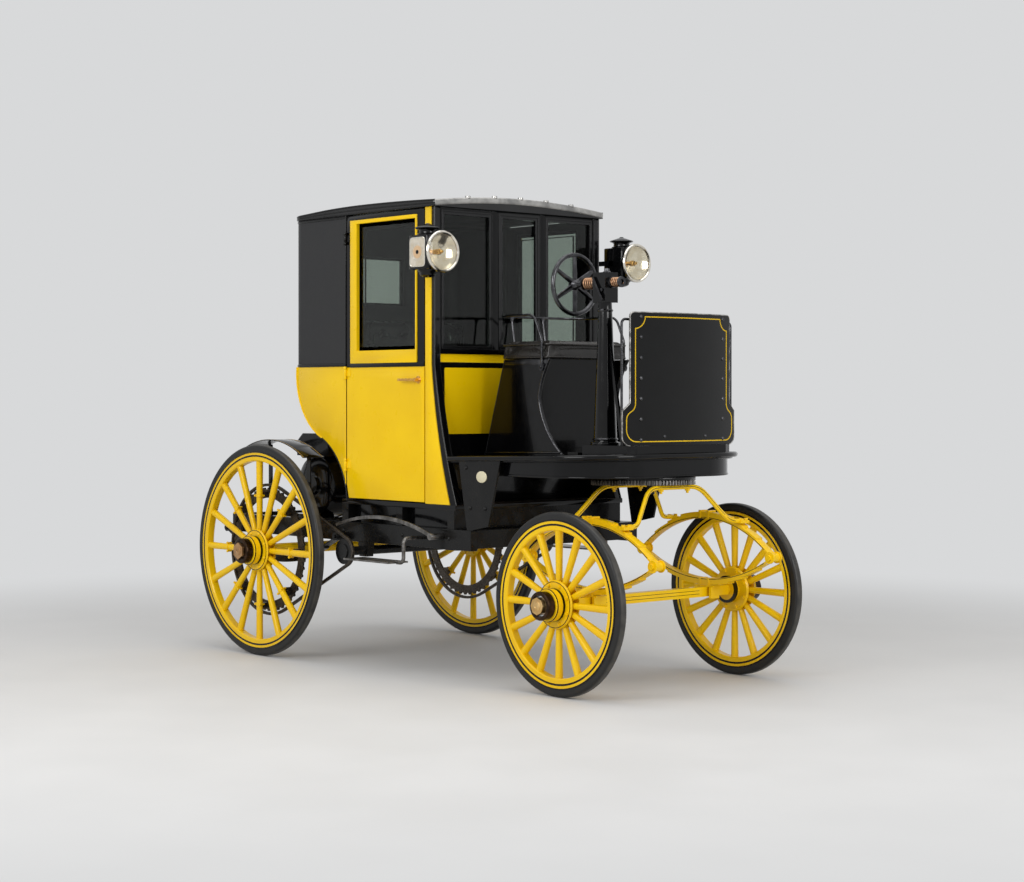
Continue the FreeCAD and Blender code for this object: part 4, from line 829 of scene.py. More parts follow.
PANEL_COLOURS = [PANEL_YELLOW, PANEL_BLACK, LINING]
painted("lower_body", PANEL_COLOURS, paint_lower, (), 1.2)
painted("front_pillars", PANEL_COLOURS, paint_pillar, (), 1.2)
painted("front_bulkhead", PANEL_COLOURS, paint_front,
        [((0, 0, height), (0, 0, 1)) for height in (FIELD_CUT, BAND_LOW, BAND_HIGH)], 1.0)
painted("door_hinges", [IRON_BLACK, PANEL_YELLOW],
        lambda middle, normal: PANEL_YELLOW if middle.z < WAIST + 0.02 else IRON_BLACK)
painted("cab_floor", [BOARDS, PANEL_BLACK],
        lambda middle, normal: BOARDS if normal.z > 0.5 else PANEL_BLACK)

# %% [markdown]
# **Beads and mouldings of the body.** Thin half-round beads cover the joints:
# round the leather quarter, along the swan's breast and down the pillar. They
# also give the long lines of light that a coach shows.

# %% Beads of the quarters
CORNER_R = 0.075
QUARTER_BACK, QUARTER_MIDDLE, QUARTER_FRONT = 0.045, 0.300, 0.499
BREAST_TURN = 1.106
PILLAR_AHEAD, SILL_END = 1.188, 1.352


def plan_line(front, height, r=CORNER_R, back=QUARTER_BACK, side=None):
    """Points round the back of the cab, from the right side to the left."""
    side = SIDE if side is None else side
    right = [(front, -side), (QUARTER_MIDDLE, -side)]
    for turn in range(0, 91, 15):
        angle = math.radians(turn)
        right.append((back + r - r * math.sin(angle), r - side - r * math.cos(angle)))
    return [at(ahead, y, height(ahead)) for ahead, y in right + [(a, -y) for a, y in reversed(right)]]


trim = bmesh.new()
into(trim, swept(plan_line(0.502, lambda ahead: WAIST + 0.006), 0.010, 0.016))
into(trim, swept(plan_line(0.502, lambda ahead: EAVES - 0.010), 0.008, 0.012))
for sign in (-1, 1):
    face, out = SIDE * sign, ACROSS * sign
    turn, edge_face = at(QUARTER_MIDDLE, face, BREAST_TURN), face * 0.989
    into(trim, swept([at(QUARTER_FRONT, face, WAIST), at(QUARTER_FRONT, face, EAVES)], 0.010, 0.006, out))
    breast = bowed(at(0.083, face, WAIST), turn, 0.345, (-1, 0, -1))
    hollow = bowed(turn, at(0.502, face, 0.862), 0.373, (1, 0, 1))
    into(trim, swept(breast, 0.006, 0.008, ACROSS), 1)
    into(trim, swept([at(0.4985, face, WAIST - 0.004), at(0.4985, face, 0.885)], 0.007, 0.006, out), 1)
    into(trim, swept(hollow + [at(0.512, face, FLOOR + 0.012)], 0.006, 0.008, ACROSS))
    into(trim, swept([at(0.515, face, FLOOR + 0.011), at(SILL_END, face, FLOOR + 0.011)], 0.008, 0.024))
    edge = bowed(at(PILLAR_AHEAD, edge_face, WAIST), at(1.350, edge_face, FLOOR + 0.022), 3.35, (-1, 0, -1))
    into(trim, swept([at(PILLAR_AHEAD, edge_face, EAVES)] + edge, 0.008, 0.008, ACROSS), 2)
piece("body_beads", trim, [PANEL_BLACK, PANEL_YELLOW, EDGE_BLACK], "cab", sharper_than=60.0)

# %% [markdown]
# **Roof edge.** Three fine ridges run round the sides and back under the roof
# hide. They rise with the roof's own curve, so the line round the cab's plan
# takes its height from a small formula.

# %% Roof edge
ROOF_BACK, ROOF_CREST, ROOF_FRONT = QUARTER_BACK - 0.004, 0.640, 1.205
ROOF_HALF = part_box("roof")[1].y
EDGE_BEHIND, EDGE_CREST, EDGE_FRONT = 0.012, 0.038, 0.026


def edge_height(ahead):
    """How high the roof's side stands above the eaves: low behind, highest amidships."""
    rise = (ahead - ROOF_BACK) / (ROOF_CREST - ROOF_BACK)
    fall = (ahead - ROOF_CREST) / (ROOF_FRONT - ROOF_CREST)
    if ahead < ROOF_CREST:
        return EDGE_BEHIND + (EDGE_CREST - EDGE_BEHIND) * rise * (2 - rise)
    return EDGE_CREST - (EDGE_CREST - EDGE_FRONT) * fall * fall


roof_trim = bmesh.new()
for share, thick in ((0.0, 0.007), (0.45, 0.006), (0.95, 0.008)):
    def ridge(ahead):
        return EAVES + 0.003 + edge_height(ahead) * share

    line = plan_line(ROOF_FRONT, ridge, CORNER_R + 0.006, ROOF_BACK, ROOF_HALF)
    steps = [ROOF_BACK + (ROOF_FRONT - ROOF_BACK) * i / 16 for i in range(4, 17)]
    right = [at(x, -ROOF_HALF, ridge(x)) for x in reversed(steps)]
    left = [at(x, ROOF_HALF, ridge(x)) for x in steps]
    into(roof_trim, swept(right + line[2:-2] + left, thick, thick))
piece("roof_edge_ridges", roof_trim, [PANEL_BLACK], "cab", sharper_than=60.0)

# %% [markdown]
# Across the front lies a bright metal cornice, highest in the middle. One deep
# bead follows that arch, and five short studs stand on it at equal steps.

# %% Cornice
CROWN, STUD_STEP = 0.034, 0.168


def over_front(y):
    """The cornice's height above each point of the front's width."""
    return EAVES + 0.015 + CROWN * (1 - (y / ROOF_HALF) ** 2)


cornice = bmesh.new()
across = [ROOF_HALF * (i / 12 - 1) for i in range(25)]
into(cornice, swept([at(ROOF_FRONT - 0.004, y, over_front(y)) for y in across], 0.018, 0.031, sides=12))
for y in [STUD_STEP * i for i in range(-2, 3)]:
    spot = at(ROOF_FRONT - 0.008, y, over_front(y) + 0.012)
    into(cornice, rod(spot, spot + UP * 0.011, 0.014, 0.013, 12))
piece("front_cornice", cornice, [CORNICE_METAL], "cab", 0.8)

# %% [markdown]
# **Window beads.** Every pane sits in its own slim sash. A flat bead round the
# opening and a finer one against the glass give the double line of a real
# window.

# %% Sashes
def frame_round(a, b, wide, high, up):
    """A flat bead round the opening between two opposite corners."""
    corners = [a, Vector((b.x, b.y, a.z)), b, Vector((a.x, a.y, b.z))]
    return swept(corners, wide, high, up, sides=4, closed=True)


sashes = bmesh.new()
# columns: ahead, from and to sideways, from and to in height, width and height of the bead
for ahead, y0, y1, low_z, high_z, wide, high in (
        (1.180, -0.481, -0.186, 1.549, 2.184, 0.012, 0.016),
        (1.180, -0.114, 0.114, 1.549, 2.184, 0.012, 0.016),
        (1.180, 0.186, 0.481, 1.549, 2.184, 0.012, 0.016),
        (1.186, -0.128, 0.128, 1.536, 2.198, 0.012, 0.008),
        (0.047, -0.170, 0.170, 1.800, 2.050, 0.022, 0.012)):
    into(sashes, frame_round(at(ahead, y0, low_z), at(ahead, y1, high_z), wide, high, AHEAD))
for sign in (-1, 1):
    into(sashes, frame_round(at(1.1845, sign * 0.486, 1.538), at(1.1845, sign * 0.182, 2.196),
                             0.008, 0.006, AHEAD))
    strip = [at(PILLAR_AHEAD, sign * 0.519, height) for height in (1.517, 2.205)]
    into(sashes, swept(strip, 0.030, 0.004, AHEAD, sides=4))
piece("front_sashes", sashes, [EDGE_BLACK], "cab", 0.8)

for side in SIGN:
    inner = bmesh.new()
    depth = (SIDE - 0.020) * SIGN[side]
    into(inner, frame_round(at(0.604, depth, 1.549), at(1.047, depth, 2.156), 0.018, 0.012, ACROSS))
    depth *= 0.985
    into(inner, frame_round(at(0.626, depth, 1.571), at(1.025, depth, 2.134), 0.005, 0.008, ACROSS))
    piece(f"{side}_door_sash", inner, [PANEL_BLACK], f"{side}_door", 0.8)
print("cab dressed")

# %% [markdown]
# **The driver's platform.** A board with a half-round nosing all round its
# front, over a black valance that hangs behind it. The nosing follows the
# board's plan and climbs with it towards the dash.

# %% Platform nosing and valance beads
BOARD_BACK, BOARD_NOSE, BOARD_R = 1.300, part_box("driver_platform")[1].x - REAR_X, 0.330
BOARD_START, BOARD_BEHIND, BOARD_CLIMB = 1.188, 1.031, 0.029
VALANCE_LOW, VALANCE_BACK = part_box("valance")[0].z, 1.672


def board_top(ahead):
    return BOARD_BEHIND + BOARD_CLIMB * (ahead - BOARD_START) / (BOARD_NOSE - BOARD_START)


def nose_line(back, inset, height):
    """Points round the platform's plan, from the right side to the left."""
    side, nose, r = SIDE - inset, BOARD_NOSE - inset, BOARD_R - inset
    right = [(back, -side)]
    for turn in range(0, 91, 10):
        angle = math.radians(turn)
        right.append((nose - r + r * math.sin(angle), r - side - r * math.cos(angle)))
    return [at(ahead, y, height(ahead)) for ahead, y in right + [(a, -y) for a, y in reversed(right)]]


nosing = bmesh.new()
for inset, drop, wide, high, sides in ((0.0, 0.010, 0.022, 0.024, 10), (0.020, 0.024, 0.016, 0.012, 8)):
    line = nose_line(BOARD_BACK, inset, lambda ahead: board_top(ahead) - drop)
    into(nosing, swept(line, wide, high, sides=sides))
for inset, rise, high, sides in ((0.040, 0.040, 0.080, 4), (0.037, 0.005, 0.010, 8)):
    line = nose_line(VALANCE_BACK, inset, lambda ahead: VALANCE_LOW + rise)
    into(nosing, swept(line, 0.008, high, sides=sides))
for sign in (-1, 1):
    face = (SIDE - 0.038) * sign
    into(nosing, block(at(VALANCE_BACK - 0.020, face - 0.003, VALANCE_LOW),
                       at(VALANCE_BACK, face + 0.003, board_top(1.66) - 0.022)))
piece("platform_nosing", nosing, [PANEL_BLACK], "cab", sharper_than=50.0)

# %% [markdown]
# **Small ironwork by the driver's feet.** A tread plate lies beside the
# column, and a row of screws holds the toe board.

# %% Tread plate and screws
tread = bmesh.new()
low_z = board_top(1.93)
into(tread, block(at(1.900, -0.340, low_z), at(1.965, -0.215, low_z + 0.014)), 0)
for i in range(4):
    into(tread, dome(at(2.02, 0.16 * i - 0.24, 1.0975), UP, 0.007, 0.003), 1)
piece("foot_plate", tread, [IRON_BLACK, BRIGHT_STEEL], "cab", 1.5)

# %% [markdown]
# **The dash.** A leather-covered board: a worn metal strip binds its edge,
# domed rivets hold the leather, and a painter's line of yellow follows the
# outline inside it, scalloped round the upper rivets. The board is bowed
# forward, so everything is first drawn flat and then laid on its front face.

# %% Dash
DASH_LOW, DASH_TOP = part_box("dash")[0].z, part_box("dash")[1].z
DASH_HALF, EAR_HALF = 0.318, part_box("dash")[1].y
BULGE, BEND, HIDE_THICK = 0.022, 0.3086, 0.008
SLICE = 0.031


def on_dash(y, z, proud=0.0):
    """A point on the bowed front face of the dash."""
    return Vector((DASH_FACE + BULGE - BEND * y * y + proud, y, z))


def flat(y, z):
    return Vector((0, y, z))


def over_dash(line, proud=0.0):
    return [on_dash(p.y, p.z, proud) for p in finely(line, 0.03)]


def both_sides(half):
    return half + [flat(-p.y, p.z) for p in reversed(half)]


print("dash:", round(2 * DASH_HALF, 3), "m wide,", round(DASH_TOP - DASH_LOW, 3), "m high")

# %% [markdown]
# The outline is drawn for one side, with its ear low down, and mirrored. One
# face is extruded to the hide's thickness and cut in upright slices, so that
# it can bend, and every corner is then moved on to the bowed front.

# %% The bowed hide
edge = [flat(0, DASH_LOW), flat(DASH_HALF, DASH_LOW)]
edge += bowed(flat(DASH_HALF, DASH_LOW), flat(EAR_HALF, DASH_LOW + 0.030), 0.042, (0, 1, -1), 6)[1:]
edge += [flat(EAR_HALF, DASH_LOW + 0.152), flat(DASH_HALF, DASH_LOW + 0.187)]
edge += bowed(flat(DASH_HALF, DASH_TOP - 0.020), flat(DASH_HALF - 0.020, DASH_TOP), 0.020, (0, 1, 1), 6)
edge += [flat(0, DASH_TOP)]
sheet = bmesh.new()
front = sheet.faces.new([sheet.verts.new(p) for p in both_sides(edge)[1:-1]])
grown = bmesh.ops.extrude_face_region(sheet, geom=[front])["geom"]
bmesh.ops.translate(sheet, vec=BACK * HIDE_THICK,
                    verts=[g for g in grown if isinstance(g, bmesh.types.BMVert)])
for i in range(-11, 12):
    bmesh.ops.bisect_plane(sheet, geom=sheet.verts[:] + sheet.edges[:] + sheet.faces[:],
                           plane_co=ACROSS * SLICE * i, plane_no=ACROSS, dist=SEAM)
for vert in sheet.verts:
    vert.co.x += on_dash(vert.co.y, 0).x
hide = bmesh.new()
into(hide, sheet)
foot = over_dash([flat(-DASH_HALF, DASH_LOW + 0.008), flat(DASH_HALF, DASH_LOW + 0.008)], -0.016)
into(hide, swept(foot, 0.018, 0.016, UP, sides=4), 1)
piece("bowed_dash", hide, [DASH_HIDE, LAMP_BLACK], "cab", 2.0, ("dash",))

# %% [markdown]
# The painter's line runs an inch or so inside the outline and gives way to the
# rivets at the corners. The metal strip is a bead over the hide's edge, and
# the rivets stand in two upright rows.

# %% Line, strip and rivets
RIVET_ROW, RIVETS, RIVET_STEP = 0.262, 7, 0.0905
half = bowed(flat(0.240, DASH_TOP - 0.020), flat(0.292, DASH_TOP - 0.072), 0.054, (0, -1, -1), 8)
half += bowed(flat(0.292, DASH_LOW + 0.190), flat(0.314, DASH_LOW + 0.150), 0.040, (0, -1, -1), 6)
half += bowed(flat(0.314, DASH_LOW + 0.150), flat(0.338, DASH_LOW + 0.112), 0.040, (0, 1, 1), 6)[1:]
half += bowed(flat(0.338, DASH_LOW + 0.070), flat(0.286, DASH_LOW + 0.018), 0.052, (0, 1, -1), 8)
line = both_sides(half)
dash_trim = bmesh.new()
into(dash_trim, swept(over_dash(line + line[:1])[:-1], 0.0048, 0.0012, AHEAD, sides=4, closed=True), 0)
for sign in (-1, 1):
    line = over_dash([flat(p.y * sign, p.z) for p in edge[1:-1]], -HIDE_THICK / 2)
    into(dash_trim, swept(line, 0.006, 0.0105, AHEAD), 1)
top = over_dash([flat(DASH_HALF - 0.020, DASH_TOP), flat(0.020 - DASH_HALF, DASH_TOP)], -HIDE_THICK / 2)
into(dash_trim, swept(top, 0.0105, 0.006, UP), 1)
for sign in (-1, 1):
    for i in range(RIVETS):
        spot = on_dash(RIVET_ROW * sign, DASH_LOW + 0.026 + RIVET_STEP * i)
        into(dash_trim, dome(spot, AHEAD, 0.0095, 0.006), 2)
for y in (-0.13, 0.13):
    into(dash_trim, dome(on_dash(y, DASH_LOW + 0.040), AHEAD, 0.008, 0.005), 2)
piece("dash_trim", dash_trim, [LINE_YELLOW, EDGE_METAL, DARK_STEEL], "cab", sharper_than=50.0)

# %% [markdown]
# **Steering column.** The gear head carries the shaft, with a copper-brown
# coil spring each side that takes up the road's knocks. A coil is a wire swept
# along a helix.

# %% Head springs
COLUMN_X, COLUMN_Y, SHAFT_Z = REAR_X + 2.060, -0.2584, 1.825
COIL_STEPS = 14


def coil(shape, start, length, turns, r, wire):
    """A coil spring along the shaft: its wire follows a helix."""
    line = []
    for i in range(turns * COIL_STEPS + 1):
        angle = math.tau * i / COIL_STEPS
        line.append(Vector((start + length * i / (turns * COIL_STEPS),
                            COLUMN_Y + r * math.cos(angle), SHAFT_Z + r * math.sin(angle))))
    into(shape, swept(line, wire, wire, AHEAD, sides=6))


springs = bmesh.new()
coil(springs, COLUMN_X - 0.124, 0.068, 5, 0.0235, 0.0070)
coil(springs, COLUMN_X + 0.052, 0.046, 4, 0.0190, 0.0062)
piece("head_springs", springs, [SPRING_COPPER], "cab", sharper_than=70.0)

# %% [markdown]
# Washers hold the springs, a cap closes the head above, four bolts clamp it on
# the column, and a flat link runs down its side. Two rings go round the
# column's foot and neck.

# %% Fittings of the column
head = bmesh.new()
into(head, turned([(0, 0), (0, 0.018), (0.006, 0.018), (0.010, 0.012), (0.020, 0.011), (0.023, 0)],
                  (COLUMN_X + 0.010, COLUMN_Y, SHAFT_Z + 0.042), UP, 24))
for near, far, r in ((-0.132, -0.126, 0.031), (-0.056, -0.050, 0.031), (0.046, 0.052, 0.026),
                     (0.098, 0.106, 0.024)):
    into(head, turned([(near, 0.012), (near, r), (far, r), (far, 0.012)], (COLUMN_X, COLUMN_Y, SHAFT_Z),
                      AHEAD, 24))
for sign in (-1, 1):
    for height in (1.752, 1.790):
        seat = Vector((COLUMN_X + 0.020, COLUMN_Y + 0.040 * sign, height))
        into(head, rod(seat, seat + ACROSS * 0.007 * sign, 0.009, sides=6))
into(head, swept([(COLUMN_X - 0.030, COLUMN_Y - 0.044, SHAFT_Z + 0.024),
                  (COLUMN_X + 0.034, COLUMN_Y - 0.046, 1.745)], 0.010, 0.016, ACROSS, sides=4))
for height, r in ((1.1235, 0.0545), (1.700, 0.0325)):
    into(head, turned([(-0.006, 0.02), (-0.006, r), (0, r + 0.004), (0.006, r), (0.006, 0.02)],
                      (COLUMN_X, COLUMN_Y, height), UP, 40))
piece("column_head_fittings", head, [DARK_STEEL], "cab", 0.8)

# %% [markdown]
# **Handwheel.** Dark polished steel: a round rim, six flattened spokes that
# taper outwards, and a nut. It stands for the plain wheel of the frame, shaft
# and all.

# %% Handwheel
low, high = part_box("steering_handwheel")
WHEEL_X, WHEEL_R, RIM_R = REAR_X + 1.860, (high.z - low.z) / 2, 0.0105
WHEEL_SPOKES, FLATTENED = 6, (0.42, 1, 1)
centre = Vector((WHEEL_X, COLUMN_Y, SHAFT_Z))
hand = bmesh.new()
rim = [(RIM_R * math.cos(math.tau * i / 12), WHEEL_R - 0.0106 + RIM_R * math.sin(math.tau * i / 12))
       for i in range(13)]
into(hand, turned(rim, centre, AHEAD, 72))
into(hand, turned([(-0.022, 0), (-0.022, 0.009), (-0.014, 0.010), (-0.014, 0.024), (0.004, 0.028),
                   (0.018, 0.022), (0.026, 0.0145), (0.060, 0.0110), (0.300, 0.0110), (0.300, 0)],
                  centre, AHEAD, 32))
into(hand, rod(centre - AHEAD * 0.030, centre - AHEAD * 0.018, 0.013, sides=6))
for i in range(WHEEL_SPOKES):
    ray = Matrix.Rotation(math.tau * i / WHEEL_SPOKES, 3, "X") @ UP
    start, end = centre + ray * 0.018 + AHEAD * 0.004, centre + ray * (WHEEL_R - 0.014)
    into(hand, stretched(rod(start, end, 0.0140, 0.0105, 8), centre, FLATTENED))
piece("steel_handwheel", hand, [DARK_STEEL], "handwheel", stands_for=("steering_handwheel",))

# %% [markdown]
# **Driver's seat box.** Black sides with a steel bead down their hollow front
# edges, and flat strips along the right side.

# %% Seat box beads
SEAT_HALF, SEAT_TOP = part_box("driver_seat_box")[1].y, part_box("driver_seat_box")[1].z
box_trim = bmesh.new()
for sign in (-1, 1):
    y, inner = (SEAT_HALF - 0.004) * sign, 0.236 * sign
    hollow = at(1.612, y, 1.310)
    line = bowed(at(1.685, y, SEAT_TOP), hollow, 0.420, BACK, 8)
    line += bowed(hollow, at(1.770, y, board_top(1.77)), 0.420, BACK, 12)[1:]
    into(box_trim, swept(line, 0.011, 0.011, ACROSS))
    back = [at(1.375, y, SEAT_TOP), at(1.232, y, board_top(1.23))]
    into(box_trim, swept(back, 0.007, 0.009, ACROSS))
    into(box_trim, swept([at(1.598, inner, SEAT_TOP - 0.03), at(1.612, inner, board_top(1.6))],
                         0.010, 0.010, AHEAD))
into(box_trim, swept([at(1.232, -SEAT_HALF, 1.044), at(1.765, -SEAT_HALF, 1.057)], 0.008, 0.010))
into(box_trim, swept([at(1.380, -SEAT_HALF, SEAT_TOP - 0.016), at(1.676, -SEAT_HALF, SEAT_TOP - 0.016)],
                     0.006, 0.022))
piece("seat_box_beads", box_trim, [DARK_STEEL], "cab", sharper_than=60.0)

# %% [markdown]
# **Ends of the seat rail.** The iron rail ends in an eye on each side of the
# seat, and small nuts hold its uprights.

# %% Rail fittings
rail_ends = bmesh.new()
for sign in (-1, 1):
    eye_at = at(1.645, 0.268 * sign, 1.452)
    into(rail_ends, band(0.006, 0.017, -0.005, 0.005, eye_at, ACROSS, 24))
    into(rail_ends, dome(eye_at + Vector((0, 0.003 * sign, 0)), (0, sign, 0), 0.008, 0.008))
for y in (-0.150, 0.050):
    into(rail_ends, turned([(-0.004, 0), (-0.004, 0.012), (0.006, 0.010), (0.010, 0)], at(1.303, y, 1.690),
                           BACK, 16))
piece("rail_end_eyes", rail_ends, [DARK_STEEL], "cab", sharper_than=50.0)
print("driver's platform dressed")

# %% [markdown]
# **The lamps.** A carriage lamp is a japanned lantern with a silvered
# reflector inside, a domed glass in front, a small pane in its side, and a
# stepped chimney on top. The whole lamp is built here and stands for the plain
# one of the frame. Its round parts are turned from short profiles: the bell,
# the plated rim, the reflector, which is a bowl so that it mirrors the room as
# a real one does, and the burner in its middle.

# %% Profiles of the lamp
LAMP_AHEAD, LAMP_OUT, LAMP_HEIGHT = 1.360, 0.630, 1.985
# columns: finish number, steps round, profile as distance ahead and radius
LAMP_TURNINGS = (
    (0, 64, [(-0.034, 0), (-0.034, 0.066), (-0.026, 0.074), (-0.012, 0.090), (-0.006, 0.0965),
             (0.004, 0.0970), (0.004, 0.0880), (-0.002, 0.0850), (-0.016, 0.0640),
             (-0.0245, 0.0350), (-0.0255, 0.0)]),
    (1, 64, [(0.003, 0.0835), (0.003, 0.0965), (0.008, 0.0972), (0.013, 0.0940), (0.014, 0.0880),
             (0.009, 0.0835), (0.003, 0.0835)]),
    (2, 64, [(0.0025, 0.0870), (-0.0100, 0.0690), (-0.0185, 0.0430), (-0.0225, 0.0180),
             (-0.0225, 0.0120)]),
    (3, 24, [(-0.0240, 0), (-0.0240, 0.0140), (-0.0150, 0.0135), (-0.0120, 0.0090),
             (0.0020, 0.0080), (0.0060, 0.0)]),
)
CHIMNEY = [(0, 0), (0, 0.050), (0.006, 0.051), (0.010, 0.042), (0.020, 0.040), (0.026, 0.043),
           (0.031, 0.057), (0.0345, 0.0605), (0.038, 0.058), (0.044, 0.040), (0.050, 0.024),
           (0.053, 0.012), (0.057, 0.009), (0.0585, 0.0)]
DRIP_CUP = [(0, 0), (0, 0.050), (0.008, 0.048), (0.014, 0.040), (0.026, 0.037), (0.032, 0.028),
            (0.036, 0.014), (0.0385, 0.0)]
LENS = [(0.0085, 0.0865), (0.0140, 0.0700), (0.0185, 0.0440), (0.0205, 0.0200), (0.0210, 0),
        (0.0185, 0), (0.0180, 0.0200), (0.0160, 0.0440), (0.0115, 0.0700), (0.0065, 0.0865),
        (0.0085, 0.0865)]
print("lamp glass:", round(2 * LENS[0][1] / MM), "mm across")

# %% [markdown]
# The lantern is a box whose upright corners are rounded more than its ends, so
# it is bevelled twice. The pane in its side has a plated frame with soft
# corners, a silvered back and a small round glow that is painted light: a warm
# cream disc with a dark dot, though the lamp is not lit. The bracket's arm
# reaches in to the front pillar, where two rivets hold it.

# %% Lantern, side pane and bracket
def lantern_box(x0, x1, half_y, half_z, centre):
    """A box with rounded upright corners and softer ends."""
    tool = block(centre + Vector((x0, -half_y, -half_z)), centre + Vector((x1, half_y, half_z)))
    upright = [e for e in tool.edges if abs((e.verts[0].co - e.verts[1].co).z) > half_z]
    bmesh.ops.bevel(tool, geom=upright, offset=0.018, offset_type="OFFSET", segments=4, profile=0.5,
                    affect="EDGES", material=-1)
    level = [e for e in tool.edges if abs(e.verts[0].co.z - e.verts[1].co.z) < SEAM]
    bmesh.ops.bevel(tool, geom=level, offset=0.006, offset_type="OFFSET", segments=2, profile=0.5,
                    affect="EDGES", material=-1)
    return tool


def soft_ring(corners, r, steps=5):
    """A closed path round a rectangle whose corners are rounded to that radius."""
    heart = sum(corners, Vector()) / len(corners)
    line = []
    for i, corner in enumerate(corners):
        before, after = corners[i - 1] - corner, corners[(i + 1) % len(corners)] - corner
        line += bowed(corner + before.normalized() * r, corner + after.normalized() * r, r,
                      corner - heart, steps)
    return line


def side_pane(lamp, pane, out):
    corners = [pane + Vector((0.054 * a, 0, 0.066 * b)) for a, b in ((-1, -1), (1, -1), (1, 1), (-1, 1))]
    into(lamp, swept(soft_ring(corners, 0.016), 0.006, 0.006, ACROSS, closed=True), 1)
    into(lamp, block(pane + Vector((-0.052, -0.001, -0.064)), pane + Vector((0.052, 0.001, 0.064))), 2)
    # the warm disc, finish number 4, is painted lamp light; the lamp itself is unlit
    # columns: inner and outer radius, near and far distance, steps round, finish number
    for inner, outer, near, far, steps, slot in ((0.0, 0.030, 0.0008, 0.0016, 40, 4),
                                                 (0.0, 0.010, 0.0012, 0.0024, 24, 0),
                                                 (0.040, 0.0415, 0.0006, 0.0018, 40, 1)):
        into(lamp, band(inner, outer, near, far, pane, out, steps), slot)


def lamp_bracket(lamp, centre, sign):
    root, arm, plate = -0.058 * sign, -0.090 * sign, -0.078 * sign
    corner = centre + Vector((-0.085, arm, 0.012))
    into(lamp, block(centre + Vector((-0.105, root, -0.012)), corner), 0)
    into(lamp, block(centre + Vector((-0.210, plate, -0.012)), corner), 0)
    for x in (-0.195, -0.150):
        into(lamp, dome(centre + Vector((x, plate, 0)), (0, sign, 0), 0.007, 0.005), 0)

# %% [markdown]
# Now the lamp comes together. The chimney and the drip cup under it are turned
# on an upright axis behind the glass, and the glass itself is a separate piece.

# %% Both lamps
def carriage_lamp(side):
    sign = SIGN[side]
    centre = at(LAMP_AHEAD, LAMP_OUT * sign, LAMP_HEIGHT)
    middle = centre + BACK * 0.103
    lamp = bmesh.new()
    into(lamp, lantern_box(-0.176, -0.030, 0.062, 0.080, centre), 0)
    for slot, steps, profile in LAMP_TURNINGS:
        into(lamp, turned(profile, centre, AHEAD, steps), slot)
    for profile, up in ((CHIMNEY, UP), (DRIP_CUP, -UP)):
        into(lamp, turned(profile, middle + up * 0.0795, up, 40), 0)
    side_pane(lamp, middle + ACROSS * 0.0625 * sign, ACROSS * sign)
    lamp_bracket(lamp, centre, sign)
    piece(f"{side}_carriage_lamp", lamp, [LAMP_BLACK, RIM_SILVER, SILVERED, BRASS, PAINTED_LAMP_GLOW], "cab",
          0.0, (f"{side}_lamp",), 40.0)
    lens = bmesh.new()
    into(lens, turned(LENS, centre, AHEAD, 64))
    piece(f"{side}_lamp_lens", lens, [LENS_GLASS], "cab", sharper_than=60.0)


for side in SIGN:
    carriage_lamp(side)

# %% [markdown]
# **Fore-carriage.** Two bowed irons carry the turntable on the springs. Each
# runs level under the plate, drops on a slant and curls out to a foot on the
# spring. The curves are made by rounding the corners of a plain path, and the
# same path, moved to the front and back faces, carries the painter's black
# lines.

# %% Bowed irons
SPRING_Y, SPRING_HALF = 0.375, 0.409
FOOT_Z, IRON_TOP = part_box("fore_irons")[0].z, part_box("fore_irons")[1].z - 0.011
BAR, TOP_OUT, FOOT_OUT = 0.011, 0.150, 0.55 * SPRING_HALF
bows = bmesh.new()
for end in (-1, 1):
    # columns: distance from the axle, half the span, height
    half = [(TOP_OUT, 0.0, IRON_TOP), (TOP_OUT, 0.162, IRON_TOP), (0.195, 0.262, FOOT_Z + 0.052),
            (0.216, 0.300, FOOT_Z + 0.012), (FOOT_OUT, SPRING_Y, FOOT_Z + BAR)]
    path = [(x, -y, z) for x, y, z in reversed(half[1:])] + half
    line = softened([(FRONT_X + x * end, y, z) for x, y, z in path], 0.055)
    into(bows, swept(line, 0.021, 0.018, AHEAD), 0)
    for face in (-1, 1):
        moved = [p + AHEAD * 0.0091 * face for p in line[2:-2]]
        into(bows, swept(moved, 0.0030, 0.0012, AHEAD, sides=4), 1)
    for sign in (-1, 1):
        foot = Vector((FRONT_X + FOOT_OUT * end, SPRING_Y * sign, FOOT_Z))
        into(bows, block(foot + Vector((-0.014, -0.029, 0)), foot + Vector((0.014, 0.029, 0.014))), 0)
        for y in (-0.020, 0.020):
            into(bows, rod(foot + Vector((0, y, 0.014)), foot + Vector((0, y, 0.024)), 0.0095, sides=6), 0)
piece("bowed_fore_irons", bows, [WHEEL_YELLOW, WHEEL_BLACK], "fore_carriage", 1.2, ("fore_irons",), 50.0)

# %% [markdown]
# The rest of the fore-carriage needs its bolts, the nuts of the spring eyes,
# the clips that bind the leaves, and two fine black lines on the axle beam.

